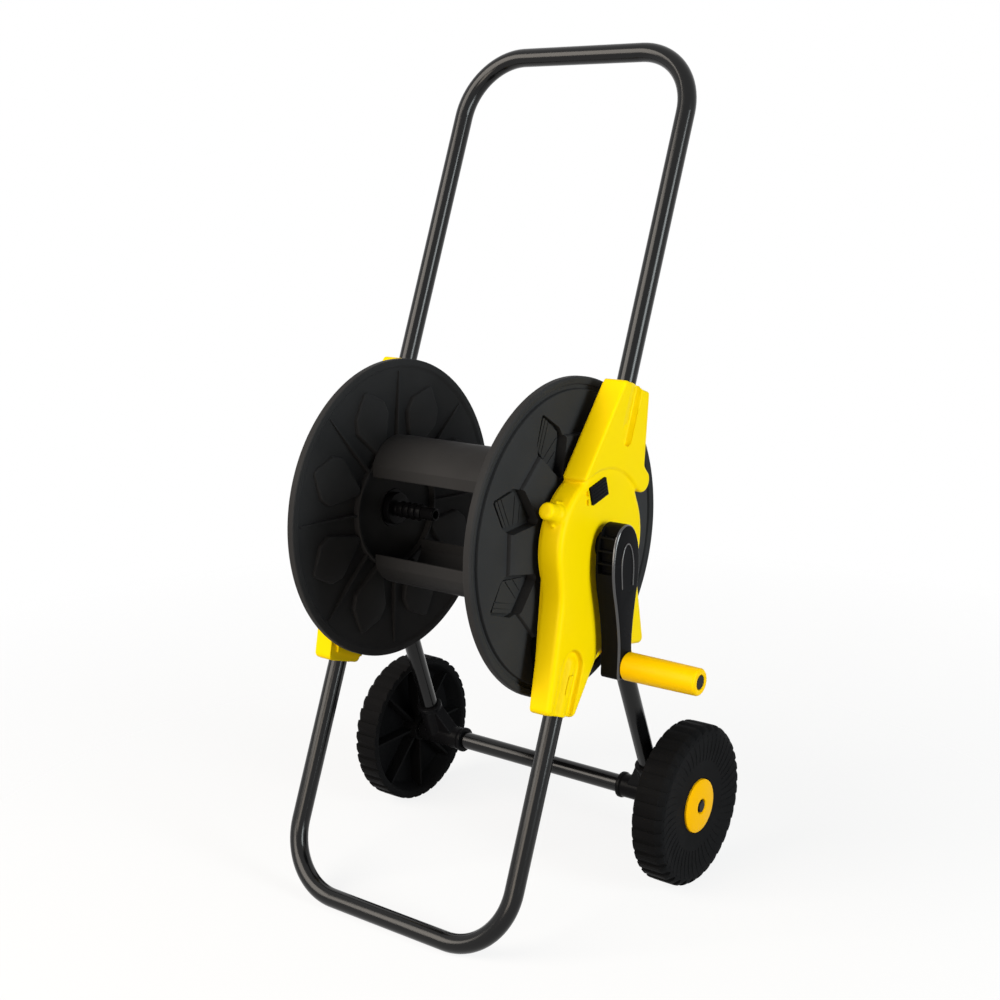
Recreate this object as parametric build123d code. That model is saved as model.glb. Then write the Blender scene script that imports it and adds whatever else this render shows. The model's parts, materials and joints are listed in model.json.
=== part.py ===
from build123d import *
import math
import os

os.makedirs("parts", exist_ok=True)

# Driving dimensions of the cart, in millimetres and degrees.
# X runs across the cart towards the crank, Y runs back towards the wheels, Z is up from the floor.
TUBE_R = 9.5                    # 19 mm steel tube, used for both loops, the legs and the axle tube
TUBE_WALL = 1.2
LOOP_HALF = 138.0               # centre line of each loop side from the middle plane
BEND_R = 65.0                   # centre line radius of the loop corners
LEAN = 22.65                    # the loops lean back from the vertical
TOP_Z = 840.0                   # centre of the hand bar
REEL_Z = 381.0                  # reel axis above the floor
WHEEL_R = 84.5
AXLE_Y = 262.5                  # axle behind the foot bar

FLANGE_R = 157.0
FLANGE_IN = 104.5               # inner edge of each flange rim from the middle plane
RIM_WIDTH = 9.0
RIM_DEPTH = 8.0                 # radial depth of the rim band
RIM_GROOVE = 3.0
RIM_IN_ROUND, RIM_OUT_ROUND = 1.5, 2.5
WEB_OUT = 111.5                 # outer face of the flange next to the rim
WEB = 3.0                       # wall of the flange moulding
WEB_RISE = 2.5                  # the face rises this much towards the octagon
PLATEAU_OUT = 118.5             # outer face of the raised octagon
PLATEAU_FLAT = 103.0            # axis to the flats of the octagon
PLATEAU_BEVEL = 4.0
HUB_PLATE_IN = 110.0            # inner face of the thick middle of the flange
COLLAR_R = 62.0
SECTORS = 8                     # scoops and ribs round the flange
SCOOP_TURN = 18.5               # angle of the first scoop, ribs lie half way between
SCOOP_IN, SCOOP_DEEP, SCOOP_OUT = 95.0, 101.0, 131.5  # radii of a scoop's slot, ramp foot and ramp end
SCOOP_FLOOR, SCOOP_FLUSH = 108.0, 112.7
SCOOP_HALF = 14.5
SCOOP_BACK = 104.8              # inner face of the swelling behind a scoop
SCOOP_WALL = 3.5
RIB_EDGE = 106.0
RIB_THICK = 2.4

SLAT_HALF = 38.5                # half width of an arched slat
SLAT_TOP = 79.0                 # crown of the slat above the reel axis
SLAT_EDGE = 53.0                # height where the arch meets its lip
SLAT_LIP = 41.0                 # height of the lip's free edge
SLAT_WALL = 3.0
SLAT_END = 104.0
SEAT_WALL = 8.0                 # the flange's arched seat behind each slat end

BRACKET_IN = 124.0              # back of the bracket's cover
BRACKET_SPLIT = 127.0           # joint between cover and shell
BRACKET_OUT = 151.0             # flat outer face
BRACKET_SKIN = 3.0
COVER_INSET = 4.0               # the cover sits inside the shell's outline
FACE_SKIN = 4.0
HUB_R = 72.0                    # round middle of the bracket
HUB_CLEAR = 6.0                 # corners nearer the round middle than this stay sharp
STEP_GAP = 0.5                  # the raised arm starts this far outside the round middle
ARM_RAISE = 2.0                 # the upper arm stands proud of the round middle
EAR_R = 12.0                    # round ear at the upper arm's back corner
EAR_T = 48.0
UPPER_END = 156.0               # ends of the arms, measured from the reel axis
LOWER_END = 164.0
LEG_END = 132.0
LEG_SHIFT = 3.5                 # the leg arm stands this far behind its tube's centre line
LEG_SOCKET_END = 140.0
UPPER_FOOT = 49.0               # where the arms run into the round middle
LOWER_FOOT = 44.0
UPPER_TUBE_END = 110.0          # how near each tube comes to the reel axis
LOWER_TUBE_END = 116.0
LEG_TUBE_END = 92.0
END_HALF = 22.0                 # half width of an arm at its end
UPPER_FLARE = 0.32              # growth of half width per length towards the hub
LOWER_FLARE = 0.27
CORNER_R = 3.5
ROUND_FACE = 2.0                # rounded edge round the outer face
ROUND_ARM = 1.5                 # rounded edge of the raised upper arm
SOCKET_HALF = 12.5
SOCKET_STOP = 5.0
LATCH_HALF = 12.0               # hollow in the face over each tube end
LATCH_LENGTH = 56.0
LATCH_DEPTH = 2.0
TONGUE_HALF = 6.0
PEG_R = 8.5                     # parking peg for the loose hose end
PEG_S = 14.0
PEG_REACH = 88.0
PEG_COLLAR, PEG_COLLAR_R = 73.0, 10.5
PEG_ROOT = 66.0                 # start of the peg inside the bracket's edge
PEG_ROUND = 2.5

SCREW_R = 1.6                   # cover, spindle and inlet screws
SCREW_HEAD_R = 3.5
SCREW_HEAD = 1.8
SCREW_DEPTH = 11.0
SCREW_POST_R = 4.5
COVER_SCREWS = [(-27.0, 92.0), (27.0, 92.0), (-52.0, -16.0), (-29.0, -98.0), (30.0, -72.0), (62.0, -4.0)]

JOURNAL_R = 19.95               # reel spindles, running in the bushes
BUSH_BORE = 20.0
BUSH_R = 23.0
BUSH_LIP, BUSH_LIP_R = 2.0, 20.4  # the shell closes over the outer end of the bush
BOSS_R = 32.0
SPIGOT_R = 20.0
SPINDLE_PLATE_R = 44.0
SPINDLE_PLATE = 3.5
SPINDLE_SCREWS = 4
SPINDLE_SCREW_AT = 34.0
SQUARE_DRIVE = 22.0
WATER_BORE = 10.0
WATERWAY_R = 5.0
STEM_R = 9.95
STEM_IN = 130.0
SEAL_R = 1.25
SEAL_SPOTS = (135.0, 142.0)
INLET_PLATE_R = 34.0
INLET_PLATE = 4.0
INLET_SCREWS = 3
INLET_SCREW_AT = 27.5
INLET_SPIGOT_R = 8.0
INLET_END = 186.0
INLET_COLLAR, INLET_COLLAR_R = 7.0, 14.0
OUTLET_END = 54.0
OUTLET_SPIGOT_R = 6.5
OUTLET_FOOT, OUTLET_FOOT_R = 6.0, 17.0
OUTLET_PLUG = 8.0               # length that sits in the water spindle's bore
OUTLET_BORE_R = 4.0
BARBS, BARB_START, BARB_STEP, BARB_LENGTH = 4, 16.0, 8.0, 5.0
BARB_SMALL_R, BARB_LARGE_R = 7.5, 9.0

CRANK_BACK = 158.0
CRANK_FRONT = 179.0
CRANK_LENGTH = 116.5            # reel axis to grip axis, the arm hangs straight down
CRANK_END = 129.0
CRANK_TOP = 23.0
CRANK_SIDE = [                  # half width of the arm and its height from the reel axis
    (10.8, -CRANK_END), (9.9, -98.0), (11.3, -82.0), (13.8, -67.0), (16.8, -53.0), (20.4, -38.0),
    (22.6, -22.0), (21.9, -6.0), (18.0, 9.0), (10.6, 19.3)]
CRANK_CORNER_R, CRANK_EDGE_R = 4.0, 1.5
CRANK_WALL = 2.0                # wall behind the grip pin's end
CRANK_SCREW_HEAD_R = 7.0
CRANK_SCREW_SINK_R = 8.0
CRANK_SCREW_IN = 154.0
DRIVE_END = 175.0
CAP_FLOOR = 177.0               # recess of the crank cap
CAP_DROP = 19.5
CAP_HALF_WIDTH, CAP_HALF_HEIGHT = 10.9, 24.5
WINDOW_WIDTH = 16.0
WINDOWS = [                     # depth line, lower and upper edge of the windows in the crank's head
    (8.5, 12.5, 22.0), (14.5, 0.6, 11.0), (14.5, -11.2, -1.0), (14.5, -22.0, -12.8)]
GRIP_R = 13.5
GRIP_END = 260.0
GRIP_GAP = 0.4
GRIP_END_ROUND, GRIP_FOOT_ROUND = 3.0, 1.5
PIN_R = 4.0
PIN_HEAD_R = 6.5
PIN_HEAD = 3.0

LEG_X_TOP = 141.5               # the legs spread a little from bracket to axle
LEG_X_BOTTOM = 148.0
LEG_FOOT_GAP = 14.0
SLEEVE_R = 12.5
SLEEVE_IN = 105.5
SLEEVE_OUT = 166.5
SLEEVE_WALL_END = 2.5
SOCKET_TOP = 42.0
LIP, LIP_WIDTH = 1.4, 5.0
AXLE_R = 5.0
WASHER, WASHER_R = 2.0, 9.0
WHEEL_IN = 170.5
WHEEL_OUT = 203.0
WHEEL_HUB_R = 14.0
WHEEL_HUB_GAP = 0.5
WHEEL_WEB_IN = 189.0
WHEEL_SIDE = [(194.0, WHEEL_R), (200.5, 79.5), (WHEEL_OUT, 73.0), (200.5, 48.0), (200.0, 27.5)]
TREAD_ROOT_R, TREAD_BACK_R, TREAD_EDGE = 68.0, 76.0, 2.5
SPOKE, SPOKE_LENGTH, SPOKE_SET_BACK = 3.0, 62.0, 4.0
LUGS = 36
LUG_GROOVE, LUG_DEPTH = 2.6, 2.2
WHEEL_SPOKES = 8
CAP_R = 27.5
CAP_HOLE_R = 7.2
CAP_SEAT = 195.0
CAP_FACE = [(201.5, CAP_R), (202.6, 24.5), (203.6, 9.2), (WHEEL_OUT, CAP_HOLE_R)]
NUT_R = 6.5
NUT_IN = 198.6
NUT_END = 204.0
NUT_ROUND = 2.0
AXLE_END = 202.0

LOCK_T, LOCK_S = -23.4, 46.9    # lock slider on the bracket, across and along the main tube
LOCK_LONG, LOCK_SHORT, LOCK_HEIGHT = 28.0, 18.0, 3.0
LOCK_CORNER_R, LOCK_EDGE_R = 2.5, 0.8
LOCK_FOOT = (16.0, 12.0)        # plate behind the bracket face that keeps the slider in
LOCK_TURN = 12.0
LOCK_TRAVEL = 4.0
LOCK_STEM = (8.0, 5.0)
LOCK_GAP = 0.2
LOCK_PLATE = 3.0
PAD_WIDTH = 7.0
PAD_REST = 24.6                 # pad tip from the reel axis when released

FIT = 0.05                      # radial clearance of running fits
PAST = 5.0                      # cuts run past the surface by this much

# Places that follow from the dimensions above.
FOOT_Z = TUBE_R
COS_L = math.cos(math.radians(LEAN))
SIN_L = math.sin(math.radians(LEAN))
REEL_Y = (REEL_Z - FOOT_Z) * SIN_L / COS_L
TOP_S = (TOP_Z - REEL_Z) / COS_L
FOOT_S = (REEL_Z - FOOT_Z) / COS_L
LEG_ANGLE = math.degrees(math.atan2(AXLE_Y - REEL_Y, REEL_Z - WHEEL_R))
LEG_LENGTH = math.hypot(AXLE_Y - REEL_Y, REEL_Z - WHEEL_R)
LEG_TURN = LEAN + LEG_ANGLE
BACK_Y = REEL_Y + TOP_S * SIN_L + TUBE_R
FACE_IN = BRACKET_OUT - FACE_SKIN
LOCK_R = math.hypot(LOCK_T, LOCK_S)
LOCK_PHI = math.degrees(math.atan2(LOCK_S, LOCK_T)) - 90
ORIGIN = ((GRIP_END - NUT_END) / 2, (BACK_Y - TUBE_R) / 2, 0.0)

REEL = Pos(0, REEL_Y, REEL_Z)
AXLE = Pos(0, AXLE_Y, WHEEL_R)
SIDE = Plane(origin=(0, 0, 0), x_dir=(0, 1, 0), z_dir=(1, 0, 0))
BRACKET = Plane(origin=(0, REEL_Y, REEL_Z), x_dir=(0, COS_L, -SIN_L), z_dir=(1, 0, 0))
LOOP = Plane(origin=(0, REEL_Y, REEL_Z), x_dir=(1, 0, 0), z_dir=(0, -COS_L, SIN_L))
ON_BASE = (Align.CENTER, Align.CENTER, Align.MIN)

pieces = {}


def keep(name, shape):
    """Store one piece under its plain name."""
    pieces[name] = shape


def keep_pair(name, right_shape):
    """Store a right-hand piece and its mirror image on the left."""
    keep("right_" + name, right_shape)
    keep("left_" + name, mirror(right_shape, about=Plane.YZ))


def to_left(shape):
    return mirror(shape, about=Plane.YZ)


def rod(x0, x1, radius):
    """Round bar along X."""
    return Pos(x0, 0, 0) * Rot(0, 90, 0) * Cylinder(radius, x1 - x0, align=ON_BASE)


def ring(x0, x1, outer, inner):
    return rod(x0, x1, outer) - rod(x0 - 1, x1 + 1, inner)


def outline(*points):
    return make_face(Polyline(*points, close=True))


def turned(*points):
    """Solid of revolution about X from (x, radius) points."""
    return revolve(outline(*points), Axis.X)


def slab(plane, sketch, x0, x1):
    """Flat sketch on a plane square to X, thickened from x0 to x1."""
    return extrude(plane.offset(x0) * sketch, amount=x1 - x0)


def around(shape, count, first=0.0):
    """Copies of a shape spaced evenly about X."""
    return [Rot(first + 360.0 * k / count, 0, 0) * shape for k in range(count)]


def tube_along(path):
    section = Plane(origin=path @ 0, z_dir=path % 0) * (Circle(TUBE_R) - Circle(TUBE_R - TUBE_WALL))
    return sweep(section, path=path)


def bar_between(start, end, radius):
    line = Line(start, end)
    return sweep(Plane(origin=line @ 0, z_dir=line % 0) * Circle(radius), path=line)


def leg_point(along):
    """Point on the right leg's centre line, at a distance from the reel axis."""
    share = (along - LEG_TUBE_END) / (LEG_LENGTH - LEG_TUBE_END)
    x = LEG_X_TOP + (LEG_X_BOTTOM - LEG_X_TOP) * share
    turn = math.radians(LEG_ANGLE)
    return (x, REEL_Y + along * math.sin(turn), REEL_Z - along * math.cos(turn))


# Frame tubes and axle

def loop_tube(near, far):
    """Bent tube: two straight sides joined by a cross bar with round corners."""
    path = LOOP * FilletPolyline(
        (-LOOP_HALF, near), (-LOOP_HALF, far), (LOOP_HALF, far), (LOOP_HALF, near), radius=BEND_R)
    return tube_along(path)


def leg_connector():
    """Plastic tee that takes the foot of a leg and the end of the axle tube."""
    top = LEG_LENGTH - SOCKET_TOP
    tee = AXLE * rod(SLEEVE_IN, SLEEVE_OUT, SLEEVE_R)
    tee += AXLE * rod(SLEEVE_IN, SLEEVE_IN + LIP_WIDTH, SLEEVE_R + LIP)
    tee += bar_between(leg_point(top), leg_point(LEG_LENGTH), SLEEVE_R)
    tee += bar_between(leg_point(top), leg_point(top + LIP_WIDTH), SLEEVE_R + LIP)
    tee -= bar_between(leg_point(top - 1), leg_point(LEG_LENGTH - LEG_FOOT_GAP), TUBE_R)
    tee -= AXLE * rod(SLEEVE_IN - 1, SLEEVE_OUT - SLEEVE_WALL_END, TUBE_R)
    return tee - AXLE * rod(SLEEVE_IN, SLEEVE_OUT + 1, AXLE_R)


def push_nut():
    nut = rod(NUT_IN, NUT_END, NUT_R)
    nut = fillet(nut.edges().group_by(Axis.X)[-1], NUT_ROUND)
    return nut - rod(NUT_IN - 1, AXLE_END, AXLE_R)


def build_frame():
    keep("handle_tube", loop_tube(UPPER_TUBE_END, TOP_S))
    keep("foot_tube", loop_tube(-LOWER_TUBE_END, -FOOT_S))
    keep_pair("rear_leg", tube_along(Line(leg_point(LEG_TUBE_END), leg_point(LEG_LENGTH - LEG_FOOT_GAP))))
    half = SLEEVE_OUT - SLEEVE_WALL_END
    keep("axle_tube", AXLE * ring(-half, half, TUBE_R, TUBE_R - TUBE_WALL))
    keep("axle_rod", AXLE * rod(-AXLE_END, AXLE_END, AXLE_R))
    keep_pair("leg_connector", leg_connector())
    keep_pair("axle_washer", AXLE * ring(SLEEVE_OUT, SLEEVE_OUT + WASHER, WASHER_R, AXLE_R))
    keep_pair("push_nut", AXLE * push_nut())


# Side brackets

def arm(end, foot):
    """Tapered arm along local +Y, from its end to where it runs into the round middle."""
    wide = END_HALF + LOWER_FLARE * (LOWER_END - foot)
    tip = END_HALF + LOWER_FLARE * (LOWER_END - end)
    return outline((-tip, end), (tip, end), (wide, foot), (-wide, foot))


def upper_arm():
    """Upper arm with a round ear on its back corner."""
    back_foot = HUB_R - EAR_R + 2
    front = END_HALF + UPPER_FLARE * (UPPER_END - UPPER_FOOT)
    back = END_HALF + UPPER_FLARE * (UPPER_END - back_foot)
    blade = outline((-END_HALF, UPPER_END), (END_HALF, UPPER_END), (back, back_foot), (-front, UPPER_FOOT))
    return blade + Pos(EAR_T, HUB_R) * Circle(EAR_R)


def softened(sketch):
    """Round the corners of a bracket sketch that stand clear of the round middle."""
    outer = [v for v in sketch.vertices() if math.hypot(v.X, v.Y) > HUB_R + HUB_CLEAR]
    return fillet(outer, CORNER_R)


def bracket_outline():
    lower = Rot(0, 0, 180) * arm(LOWER_END, LOWER_FOOT)
    leg = Rot(0, 0, 180 + LEG_TURN) * Pos(-LEG_SHIFT, 0) * arm(LEG_END, LOWER_FOOT)
    return softened(Circle(HUB_R) + upper_arm() + lower + leg)


TUBE_ARMS = [
    (0.0, UPPER_TUBE_END, UPPER_END),
    (180.0, LOWER_TUBE_END, LOWER_END),
    (180.0 + LEG_TURN, LEG_TUBE_END, LEG_END),
]


def tube_sockets():
    """Blocks inside the shell that hold the three tubes."""
    blocks = []
    for turn, tube_end, end in TUBE_ARMS:
        near = tube_end - SOCKET_STOP
        block = Rot(0, 0, turn) * outline((-SOCKET_HALF, near), (SOCKET_HALF, near),
                                          (SOCKET_HALF, end), (-SOCKET_HALF, end))
        blocks.append(slab(BRACKET, block, BRACKET_SPLIT, FACE_IN))
    return blocks


def tube_bores():
    upper = [LOOP.from_local_coords((LOOP_HALF, s)) for s in (UPPER_TUBE_END, UPPER_END + PAST)]
    lower = [LOOP.from_local_coords((LOOP_HALF, -s)) for s in (LOWER_TUBE_END, LOWER_END + PAST)]
    leg = [leg_point(s) for s in (LEG_TUBE_END, LEG_SOCKET_END + PAST)]
    return [bar_between(start, end, TUBE_R) for start, end in (upper, lower, leg)]


def round_ended(half, start, end):
    """Strip along local +Y with a half-round end nearest the hub."""
    strip = outline((-half, start), (half, start), (half, end), (-half, end))
    return strip + Pos(0, start) * Circle(half)


def latch_recess(turn, end):
    """Hollow in the face over a tube, with the snap tongue standing in it."""
    start = end - LATCH_LENGTH + LATCH_HALF
    well = Rot(0, 0, turn) * round_ended(LATCH_HALF, start, end + PAST)
    tongue = Rot(0, 0, turn) * round_ended(TONGUE_HALF, start + LATCH_HALF, end)
    top = BRACKET_OUT + (ARM_RAISE if turn == 0.0 else 0.0)
    hollow = slab(BRACKET, well, top - LATCH_DEPTH, top + PAST)
    return hollow - slab(BRACKET, tongue, top - LATCH_DEPTH, top - LATCH_DEPTH / 2)


def parking_peg():
    """Round peg on the front edge, where the loose hose end is parked."""
    peg = Cylinder(PEG_R, PEG_REACH - PEG_ROOT, align=ON_BASE)
    peg = fillet(peg.edges().group_by(Axis.Z)[-1], PEG_ROUND)
    peg += Cylinder(PEG_COLLAR_R, PEG_COLLAR - PEG_ROOT, align=ON_BASE)
    foot = BRACKET.from_local_coords((-PEG_ROOT, PEG_S, LOOP_HALF))
    return Plane(origin=foot, z_dir=(0, -COS_L, SIN_L)).location * peg


def screw_holes(spots, x0, x1, radius):
    return [slab(BRACKET, Pos(t, s) * Circle(radius), x0, x1) for t, s in spots]


def bracket_shell():
    """Right-hand shell before the openings that only one side has."""
    shape = bracket_outline()
    shell = slab(BRACKET, shape, BRACKET_SPLIT, BRACKET_OUT)
    shell = fillet(shell.edges().group_by(Axis.X)[-1], ROUND_FACE)
    raised = softened(upper_arm() - Circle(HUB_R + STEP_GAP))
    blade = slab(BRACKET, raised, BRACKET_SPLIT, BRACKET_OUT + ARM_RAISE)
    shell += fillet(blade.edges().group_by(Axis.X)[-1], ROUND_ARM)
    cavity = slab(BRACKET, offset(shape, -BRACKET_SKIN), BRACKET_SPLIT, FACE_IN)
    posts = screw_holes(COVER_SCREWS, BRACKET_SPLIT, FACE_IN, SCREW_POST_R)
    for block in tube_sockets() + posts + [REEL * rod(BRACKET_SPLIT, FACE_IN, BOSS_R)]:
        cavity -= block
    shell -= cavity
    shell += bar_between(leg_point(LEG_TUBE_END - SOCKET_STOP), leg_point(LEG_SOCKET_END), SOCKET_HALF)
    for bore in tube_bores():
        shell -= bore
    for turn, tube_end, end in TUBE_ARMS[:2]:
        shell -= latch_recess(turn, end)
    for hole in screw_holes(COVER_SCREWS, BRACKET_SPLIT, BRACKET_SPLIT + SCREW_DEPTH, SCREW_R):
        shell -= hole
    shell -= REEL * rod(BRACKET_SPLIT - 1, BRACKET_OUT - BUSH_LIP, BUSH_R)
    return shell - REEL * rod(BRACKET_SPLIT - 1, BRACKET_OUT + 1, BUSH_LIP_R)


def bracket_back():
    cover = slab(BRACKET, offset(bracket_outline(), -COVER_INSET), BRACKET_IN, BRACKET_SPLIT)
    cover -= REEL * rod(BRACKET_IN - 1, BRACKET_SPLIT + 1, BUSH_R)
    for hole in screw_holes(COVER_SCREWS, BRACKET_IN - 1, BRACKET_SPLIT + 1, SCREW_R):
        cover -= hole
    for sink in screw_holes(COVER_SCREWS, BRACKET_IN - 1, BRACKET_IN + SCREW_HEAD, SCREW_HEAD_R):
        cover -= sink
    return cover


def bracket_screws():
    heads = screw_holes(COVER_SCREWS, BRACKET_IN, BRACKET_IN + SCREW_HEAD, SCREW_HEAD_R)
    shanks = screw_holes(COVER_SCREWS, BRACKET_IN, BRACKET_SPLIT + SCREW_DEPTH, SCREW_R)
    return Compound(children=[head + shank for head, shank in zip(heads, shanks)])


def lock_shape(sketch, radial=0.0):
    """Sketch at the lock slider, with local +Y pointing away from the reel axis."""
    return Pos(LOCK_T, LOCK_S) * Rot(0, 0, LOCK_PHI) * Pos(0, radial) * sketch


def lock_slot():
    room = 0.4
    wide, tall = LOCK_STEM
    slot = lock_shape(Rectangle(wide + 2 * room, tall + LOCK_TRAVEL + 2 * room), -LOCK_TRAVEL / 2)
    return slab(BRACKET, slot, FACE_IN - 1, BRACKET_OUT + 1)


def pad_window():
    """Way for the brake pad through the boss and the bush to the spindle."""
    room = 0.5
    height = BOSS_R - JOURNAL_R + 4
    middle = JOURNAL_R + height / 2 - 2
    way = lock_shape(Rectangle(PAD_WIDTH + 2 * room, height), middle - LOCK_R)
    return slab(BRACKET, way, FACE_IN - LOCK_PLATE - 2 * LOCK_GAP, FACE_IN)


def build_lock():
    button = fillet(Rectangle(LOCK_LONG, LOCK_SHORT).vertices(), LOCK_CORNER_R)
    cap = slab(BRACKET, lock_shape(Rot(0, 0, LOCK_TURN) * button),
               BRACKET_OUT + LOCK_GAP, BRACKET_OUT + LOCK_GAP + LOCK_HEIGHT)
    cap = fillet(cap.edges().group_by(Axis.X)[-1], LOCK_EDGE_R)
    stem = slab(BRACKET, lock_shape(Rectangle(*LOCK_STEM)), FACE_IN - LOCK_GAP, BRACKET_OUT + LOCK_GAP)
    keep("drum_lock_slider", cap + stem)
    back, front = FACE_IN - LOCK_GAP - LOCK_PLATE, FACE_IN - LOCK_GAP
    pad_root = BOSS_R + LOCK_TRAVEL + 1
    arm_height = LOCK_R - pad_root
    plate = lock_shape(Rectangle(*LOCK_FOOT))
    plate += lock_shape(Rectangle(PAD_WIDTH, arm_height), pad_root + arm_height / 2 - LOCK_R)
    keep("drum_lock_plate", slab(BRACKET, plate, back, front))
    pad_height = pad_root - PAD_REST
    pad = lock_shape(Rectangle(PAD_WIDTH, pad_height), PAD_REST + pad_height / 2 - LOCK_R)
    keep("brake_pad", slab(BRACKET, pad, back, front))


def build_brackets():
    shell = bracket_shell()
    left_shell = shell
    for hole in inlet_screw_shapes(SCREW_R, BRACKET_OUT - SCREW_DEPTH, BRACKET_OUT + 1):
        left_shell -= REEL * hole
    keep("left_bracket_shell", to_left(left_shell))
    peg = parking_peg() - REEL * rod(BRACKET_SPLIT, BRACKET_OUT, HUB_R - BRACKET_SKIN)
    keep("right_bracket_shell", shell + peg - lock_slot() - pad_window())
    keep_pair("bracket_back", bracket_back())
    keep_pair("bracket_screws", bracket_screws())
    bush = REEL * ring(BRACKET_IN, BRACKET_OUT - BUSH_LIP, BUSH_R, BUSH_BORE)
    keep("left_bush", to_left(bush))
    keep("right_bush", bush - pad_window())


# Water inlet on the left bracket

def inlet_screw_shapes(radius, x0, x1):
    return around(Pos(0, INLET_SCREW_AT, 0) * rod(x0, x1, radius), INLET_SCREWS, 30.0)


def inlet_nipple():
    face = BRACKET_OUT + INLET_PLATE
    collar = face + INLET_COLLAR
    body = rod(BRACKET_OUT, face, INLET_PLATE_R) + rod(face, collar, INLET_COLLAR_R)
    body += rod(collar, INLET_END, INLET_SPIGOT_R) + rod(STEM_IN, BRACKET_OUT, STEM_R)
    for x in SEAL_SPOTS:
        body -= ring(x - SEAL_R, x + SEAL_R, STEM_R + 1, STEM_R - 2 * SEAL_R)
    for hole in inlet_screw_shapes(SCREW_R, BRACKET_OUT - 1, face + 1):
        body -= hole
    for sink in inlet_screw_shapes(SCREW_HEAD_R, face - SCREW_HEAD, face + 1):
        body -= sink
    return body - rod(STEM_IN - 1, INLET_END + 1, WATERWAY_R)


def inlet_screws():
    face = BRACKET_OUT + INLET_PLATE
    heads = inlet_screw_shapes(SCREW_HEAD_R, face - SCREW_HEAD, face)
    shanks = inlet_screw_shapes(SCREW_R, BRACKET_OUT - SCREW_DEPTH, face)
    return Compound(children=[head + shank for head, shank in zip(heads, shanks)])


def inlet_seals():
    seal = Rot(0, 90, 0) * Torus(STEM_R - SEAL_R, SEAL_R)
    return Compound(children=[Pos(x, 0, 0) * seal for x in SEAL_SPOTS])


def build_inlet():
    keep("inlet_nipple", to_left(REEL * inlet_nipple()))
    keep("inlet_screws", to_left(REEL * inlet_screws()))
    keep("inlet_o_rings", to_left(REEL * inlet_seals()))


# Reel

def slat_section(wall):
    """Arched channel: a crown with two straight lips."""
    inner = SLAT_HALF - wall
    crown = ThreePointArc((-SLAT_HALF, SLAT_EDGE), (0, SLAT_TOP), (SLAT_HALF, SLAT_EDGE))
    under = ThreePointArc((inner, SLAT_EDGE - 1), (0, SLAT_TOP - wall), (-inner, SLAT_EDGE - 1))
    edge = [
        Line((-SLAT_HALF, SLAT_LIP), (-SLAT_HALF, SLAT_EDGE)), crown,
        Line((SLAT_HALF, SLAT_EDGE), (SLAT_HALF, SLAT_LIP)), Line((SLAT_HALF, SLAT_LIP), (inner, SLAT_LIP)),
        Line((inner, SLAT_LIP), (inner, SLAT_EDGE - 1)), under,
        Line((-inner, SLAT_EDGE - 1), (-inner, SLAT_LIP)), Line((-inner, SLAT_LIP), (-SLAT_HALF, SLAT_LIP)),
    ]
    return make_face(edge)


def octagon(flat):
    """Octagon whose corners point at the scoops."""
    return Rot(0, 0, SCOOP_TURN) * RegularPolygon(flat / math.cos(math.pi / SECTORS), SECTORS)


def scoop():
    """Sloping hollow in the flange face: flush near the rim, deep at the hub side."""
    past = PLATEAU_OUT + PAST
    side = outline((SCOOP_FLOOR, SCOOP_IN), (SCOOP_FLOOR, SCOOP_DEEP), (SCOOP_FLUSH, SCOOP_OUT),
                   (past, SCOOP_OUT), (past, SCOOP_IN))
    return extrude(side, amount=SCOOP_HALF, both=True)


def scoop_back():
    """Swelling on the drum side that closes a scoop."""
    low, high = SCOOP_IN - SCOOP_WALL, SCOOP_OUT
    side = outline((SCOOP_BACK, low), (SCOOP_BACK, high - SCOOP_WALL), (WEB_OUT - WEB / 2, high),
                   (WEB_OUT, high), (WEB_OUT, low))
    return extrude(side, amount=SCOOP_HALF + SCOOP_WALL, both=True)


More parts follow.
